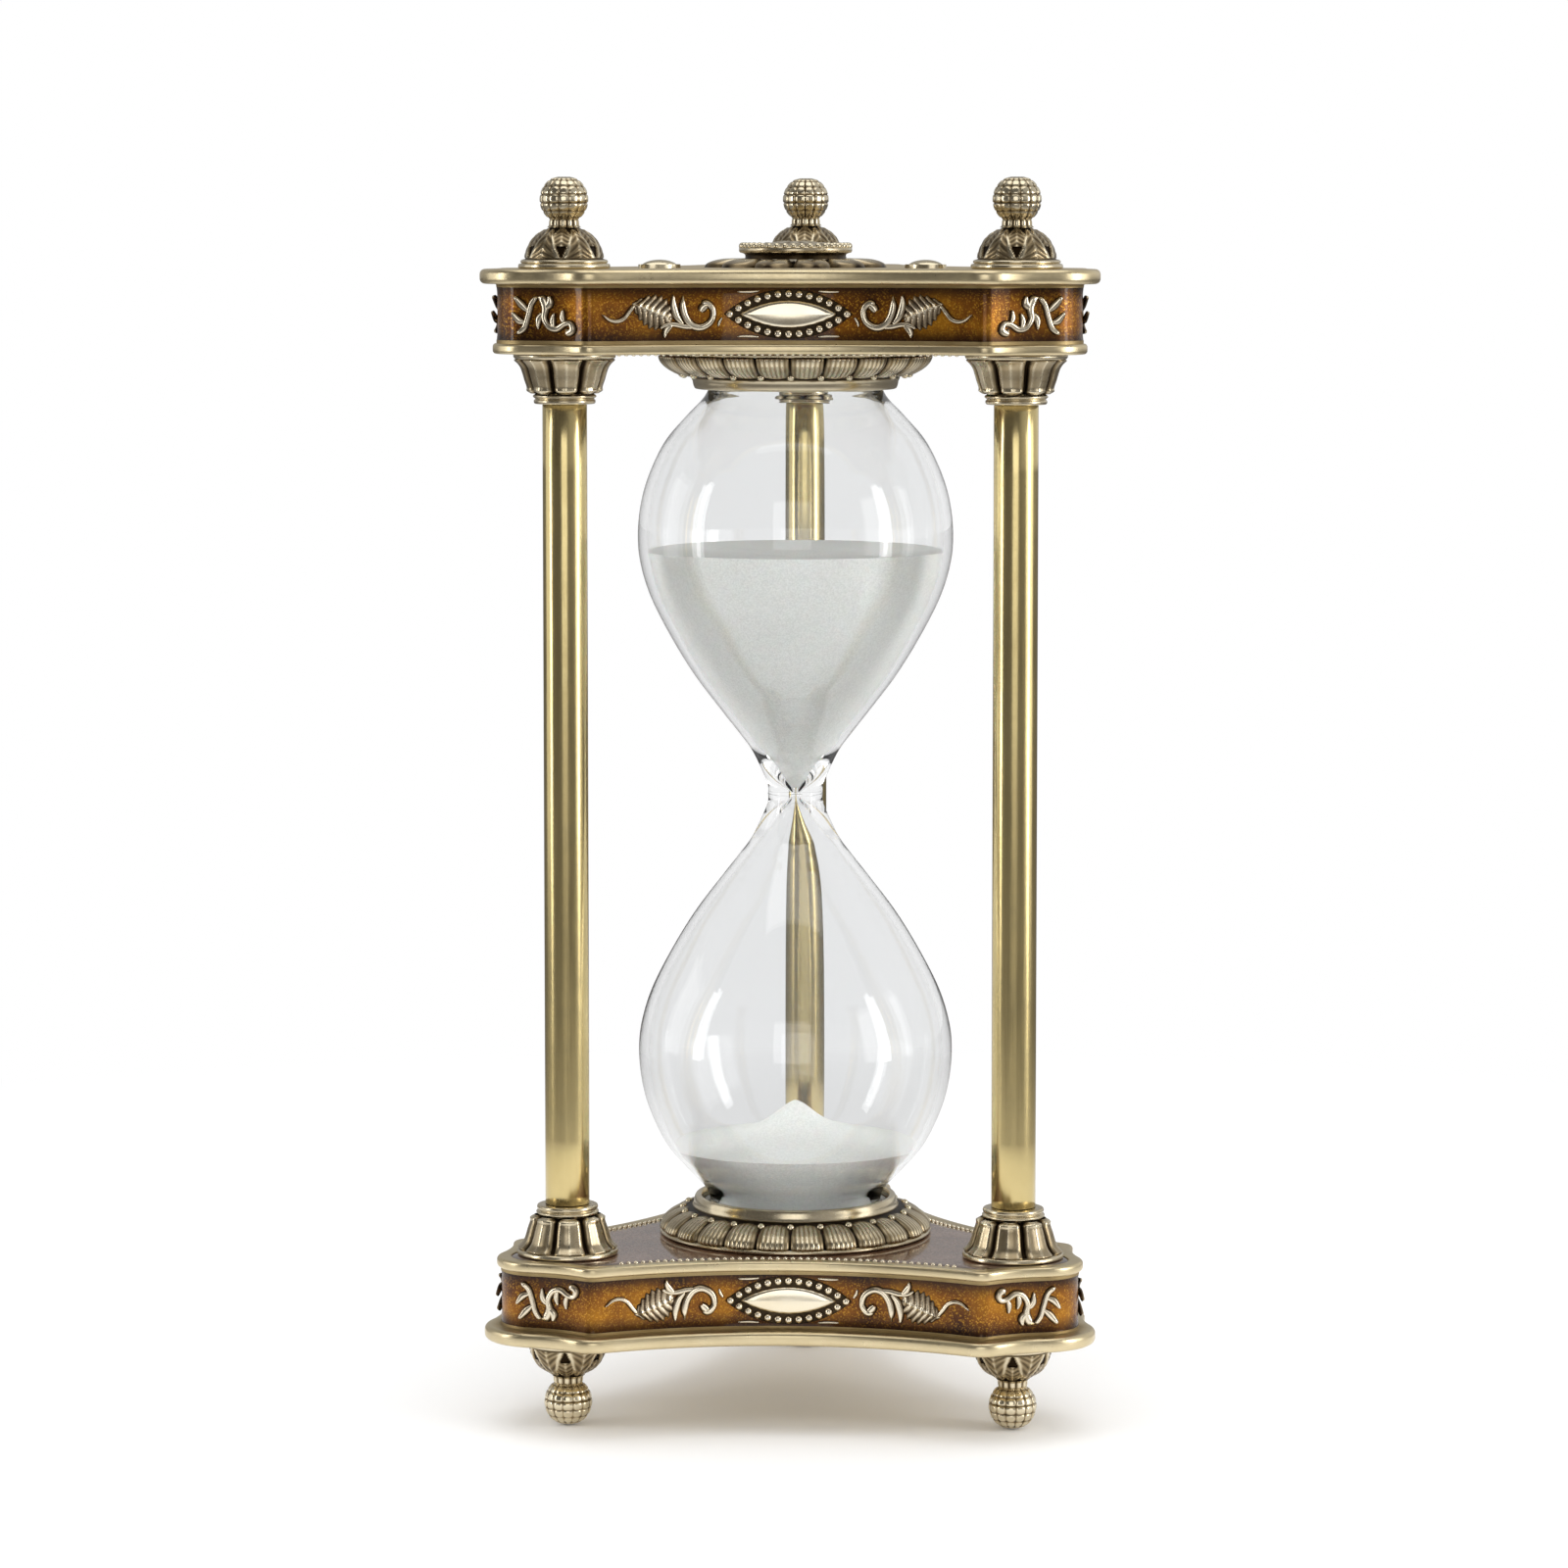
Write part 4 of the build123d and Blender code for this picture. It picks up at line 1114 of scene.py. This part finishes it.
def build_side_ornaments(half):
    place = half_place(half)
    scrolls = Piece(f"{half}_leaf_scrolls")
    for side in SIDES.values():
        for hand in (1, -1):
            leaf_scroll(scrolls, side, hand)
    scrolls.make(ORNAMENT, [f"{half}_side_scrolls"], place)

    frames = Piece(f"{half}_bead_borders")
    grounds = Piece(f"{half}_frame_grounds")
    stones = Piece(f"{half}_polished_ovals")
    for side in SIDES.values():
        def surface(x, y, out):
            return on_side(x, y, out, side)

        for x, y in lens_points(13.9, 4.75, 24):
            bead(frames, surface, x, y)
        add_lens(grounds, surface, 15.2, 5.85, 0.10, 0.10, 0.5)
        add_bars(frames, surface)
        add_lens(stones, surface, 11.7, 3.35, 0.75, 0.8, 0.9)
    frames.make(ORNAMENT, (), place)
    grounds.make(GROUND, [f"{half}_bead_frames"], place)
    stones.make(PALE_GOLD, [f"{half}_side_cabochons"], place)


def lens_points(half_length, half_height, count):
    """Points evenly spread along a pointed oval made of two arcs."""
    radius = (half_length**2 + half_height**2) / (2 * half_height)
    sweep = math.asin(half_length / radius)
    points = []
    for flip in (1, -1):
        for k in range(count // 2):
            angle = sweep * (1 - 2 * k / (count / 2))
            x = radius * math.sin(angle) * flip
            y = (radius * math.cos(angle) - (radius - half_height)) * flip
            points.append((x, y))
    return points


def bead(piece, surface, x, y, radius=1.0, across=14, down=7):
    """Half bead standing on a band surface, in millimetres."""
    def cell(i, j):
        tilt = math.pi / 2 * i / down
        angle = 2 * math.pi * j / across
        flat = radius * math.cos(tilt) + 0.001
        along, up = (x + flat * math.cos(angle)) * MM, (y + flat * math.sin(angle)) * MM
        return surface(along, up, radius * 1.1 * math.sin(tilt) * MM), min(1.0, 0.1 + 1.3 * i / down)

    piece.patch(down + 1, across, cell)


def add_lens(piece, surface, half_length, half_height, edge, crown, top_value):
    """Pointed oval with a rounded shoulder and a low crown."""
    steps, shoulder = 14, 0.22
    border = lens_points(half_length, half_height, 72)

    def cell(i, j):
        t = i / steps
        size = 1 - t if t > shoulder else 1 - shoulder * (1 - math.cos(t / shoulder * math.pi / 2))
        size = max(size, 0.003)
        lift = edge * math.sin(min(1, t / shoulder) * math.pi / 2) + crown * (1 - size**2) * 0.5
        x, y = border[j]
        return surface(x * size * MM, y * size * MM, lift * MM), 0.15 if i < 1 else top_value

    piece.patch(steps + 1, len(border), cell)


def add_bars(piece, surface):
    """Short bars and hooks round the bead border."""
    for flip in (1, -1):
        for sign in (1, -1):
            bar = [(7.0, 5.35, 0.22), (9.5, 5.2, 0.3), (12.0, 5.25, 0.2)]
            stroke(piece, surface, [(x * flip, y * sign, half) for x, y, half in bar], 0.45, 12, 6)
        hook = [(15.6, 0.8, 0.2), (16.3, 1.9, 0.35), (16.6, 3.0, 0.15)]
        stroke(piece, surface, [(x * flip, y, half) for x, y, half in hook], 0.5, 10, 6)


# strokes of a corner flank: curl and S-stem, its leaflets, the second stem of the tip and its leaves
CORNER_STROKES = [
    ([(6.3, 3.2, 0.4), (5.6, 4.3, 0.7), (4.4, 3.6, 0.75), (4.9, 2.2, 0.6), (6.6, 2.2, 0.6),
      (8.8, 3.4, 0.65), (10.8, 2.9, 0.65), (12.0, 0.9, 0.65), (11.7, -1.4, 0.8), (12.4, -3.4, 0.9),
      (13.8, -4.0, 0.6)], 0.95, 60),
    ([(6.6, 2.2, 0.3), (7.3, 0.7, 0.6), (7.0, -1.2, 0.2)], 0.8, 14),
    ([(9.4, 3.3, 0.3), (9.9, 1.6, 0.65), (9.3, -0.4, 0.2)], 0.8, 14),
    ([(11.8, -1.4, 0.6), (10.6, -2.6, 0.8), (10.7, -4.4, 0.3)], 0.9, 16),
    ([(12.2, -0.4, 0.4), (13.4, 1.2, 0.7), (13.5, 3.6, 0.2)], 0.8, 16),
    ([(13.8, -4.2, 0.5), (15.2, -2.4, 0.6), (16.0, 0.4, 0.6), (17.0, 3.2, 0.6), (18.8, 4.6, 0.4)], 0.9, 30),
    ([(15.8, -0.6, 0.3), (17.4, -2.0, 0.75), (19.4, -4.2, 0.4)], 0.9, 16),
    ([(16.6, 2.0, 0.3), (18.4, 1.4, 0.7), (20.0, -0.6, 0.25)], 0.8, 16),
]


def build_corner_scrolls(half):
    """S-scrolls of the corner flanks, and the little sprig on each tip."""
    piece = Piece(f"{half}_corner_curls")
    for corner in CORNERS.values():
        for sign in (1, -1):
            def surface(x, y, out):
                return on_flank(x, y, out, corner, sign)

            for marks, rise, steps in CORNER_STROKES:
                stroke(piece, surface, marks, rise, steps, 8, 1.35)
    piece.make(ORNAMENT, [f"{half}_corner_scrolls"], half_place(half))


def dress_hidden_nodes():
    """Gives the CAD pieces that stay their own materials."""
    finish = {"tie_rod": STEEL, "cup_screws": STEEL, "glass_pad": FELT, "fill_plug": RUBBER}
    for name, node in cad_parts.items():
        for key, material in finish.items():
            if key in name:
                node.data.materials.clear()
                node.data.materials.append(material)


# ---- room, lights and camera ----
def seen_directly(tree):
    """Sockets that are 1 for what the camera sees, straight or through glass, and for mirrored rays."""
    path = tree.nodes.new("ShaderNodeLightPath")
    either = tree.nodes.new("ShaderNodeMath")
    either.operation = "MAXIMUM"
    tree.links.new(path.outputs["Is Camera Ray"], either.inputs[0])
    tree.links.new(path.outputs["Is Transmission Ray"], either.inputs[1])
    return either.outputs["Value"], path.outputs["Is Glossy Ray"]


def build_stage():
    """Pale floor that fades into the white room, and stays dim in the metal's reflections far away."""
    mesh = bpy.data.meshes.new("floor")
    reach = 6.0
    mesh.from_pydata(
        [(-reach, -reach, 0), (reach, -reach, 0), (reach, reach, 0), (-reach, reach, 0)],
        [], [(0, 1, 2, 3)],
    )
    floor = put_in_scene("floor", mesh)
    n = Nodes("pale_floor")
    place = n.new("ShaderNodeTexCoord")
    distance = n.new("ShaderNodeVectorMath", operation="LENGTH")
    n.link(place.outputs["Object"], distance.inputs[0])
    far = n.ramp(distance.outputs["Value"], (0.10, (0, 0, 0)), (0.55, (1, 1, 1)))
    direct, glossy = seen_directly(n.tree)
    cloud = n.ramp(n.noise(3, 2), (0.3, (0.955, 0.955, 0.955)), (0.7, (0.965, 0.965, 0.965)))
    n.to("Base Color", n.mix(n.math("MULTIPLY", far, glossy), cloud, (0.16, 0.155, 0.15)))
    n.set(Roughness=0.8, Specular_IOR_Level=0.1)
    white = n.new("ShaderNodeEmission")
    blend = n.new("ShaderNodeMixShader")
    n.link(n.math("MULTIPLY", far, direct), blend.inputs["Fac"])
    n.link(n.shader.outputs["BSDF"], blend.inputs[1])
    n.link(white.outputs["Emission"], blend.inputs[2])
    n.link(blend.outputs["Shader"], n.output.inputs["Surface"])
    mesh.materials.append(n.material)


def area_light(name, position, target, width, height, power):
    data = bpy.data.lights.new(name, "AREA")
    data.shape = "RECTANGLE"
    data.size, data.size_y = width, height
    data.energy = power
    light = put_in_scene(name, data)
    light.location = position
    light.rotation_euler = (Vector(target) - Vector(position)).to_track_quat("-Z", "Y").to_euler()


def build_world():
    """White to look at and to light by; darker in front where the metal mirrors it."""
    world = bpy.data.worlds.new("studio")
    bpy.context.scene.world = world
    world.use_nodes = True
    tree = world.node_tree
    link = tree.links.new

    def new(kind, values=(), **sources):
        """Node with some of its inputs set, and some linked to a source."""
        node = tree.nodes.new(kind)
        for name, value in values:
            node.inputs[name].default_value = value
        for name, source in sources.items():
            link(source, node.inputs[name])
        return node

    def background(strength):
        values = [("Color", (1, 1, 1, 1)), ("Strength", strength)]
        return new("ShaderNodeBackground", values).outputs["Background"]

    def blend(factor, a, b):
        node = new("ShaderNodeMixShader", Fac=factor)
        link(a, node.inputs[1])
        link(b, node.inputs[2])
        return node.outputs["Shader"]

    mirrored = tree.nodes["Background"]
    place = tree.nodes.new("ShaderNodeTexCoord")
    split = new("ShaderNodeSeparateXYZ", Vector=place.outputs["Generated"])
    spread = new("ShaderNodeMapRange", [("From Min", -1.0)], Value=split.outputs["Y"])
    ramp = new("ShaderNodeValToRGB", Fac=spread.outputs["Result"])
    front, back = ramp.color_ramp.elements
    front.position, front.color = 0.35, (0.10, 0.095, 0.09, 1)
    back.position, back.color = 0.9, (0.42, 0.42, 0.42, 1)
    limits = [("From Min", 0.15), ("From Max", 0.55), ("To Max", 0.32)]
    right = new("ShaderNodeMapRange", limits, Value=split.outputs["X"])
    both = tree.nodes.new("ShaderNodeMix")
    both.data_type, both.blend_type = "RGBA", "ADD"
    both.inputs["Factor"].default_value = 1.0
    link(ramp.outputs["Color"], both.inputs["A"])
    link(right.outputs["Result"], both.inputs["B"])
    link(both.outputs["Result"], mirrored.inputs["Color"])
    direct, glossy = seen_directly(tree)
    soft = blend(glossy, background(0.86), mirrored.outputs["Background"])
    final = blend(direct, soft, background(1.0))
    link(final, tree.nodes["World Output"].inputs["Surface"])


CAMERA_DISTANCE = 1.320
CAMERA_AZIMUTH = 2.4
CAMERA_HEIGHT = 0.2938
LENS = 124.9
SENSOR = 36
SHIFT_UP = -0.06
AIM = Vector((-0.0028, 0, 0.1753))


def build_camera():
    """Long lens level with the finial balls, tipped down to the middle of the object."""
    data = bpy.data.cameras.new("camera")
    camera = put_in_scene("camera", data)
    a = math.radians(CAMERA_AZIMUTH)
    camera.location = (CAMERA_DISTANCE * math.sin(a), -CAMERA_DISTANCE * math.cos(a), CAMERA_HEIGHT)
    camera.rotation_euler = (AIM - camera.location).to_track_quat("-Z", "Y").to_euler()
    data.lens = LENS
    data.sensor_width = SENSOR
    data.shift_y = SHIFT_UP
    data.clip_start = 0.05
    data.clip_end = 50
    bpy.context.scene.camera = camera


def build_lights():
    """Tall narrow boxes for the glass, wide soft ones for the metal, one from above."""
    middle = (0, 0, MID)
    area_light("right_box", (0.95, -0.30, 0.30), middle, 0.16, 0.8, 2.6)
    area_light("right_wide", (1.05, -0.26, 0.25), middle, 0.85, 0.8, 2.9)
    area_light("left_box", (-0.95, -0.28, 0.30), middle, 0.14, 0.8, 2.0)
    area_light("left_wide", (-1.08, 0.06, 0.25), middle, 0.62, 0.8, 1.3)
    area_light("front_wide", (0.0, -1.9, 0.42), middle, 0.95, 1.2, 5.2)
    area_light("top_box", (0.0, -0.1, 1.4), (0, 0, 0), 1.2, 1.2, 6)


build_camera()
build_stage()
build_world()
build_lights()
for each_half in HALVES:
    for build in (
        build_casting, build_band_enamel, build_cover, build_face_enamel, build_border_beads, build_cup,
        build_face_ornaments, build_side_ornaments, build_corner_scrolls,
    ):
        build(each_half)
build_feet()
build_columns()
build_glass()
build_upper_sand()
build_lower_sand()
dress_hidden_nodes()

scene = bpy.context.scene
scene.view_settings.view_transform = "Standard"
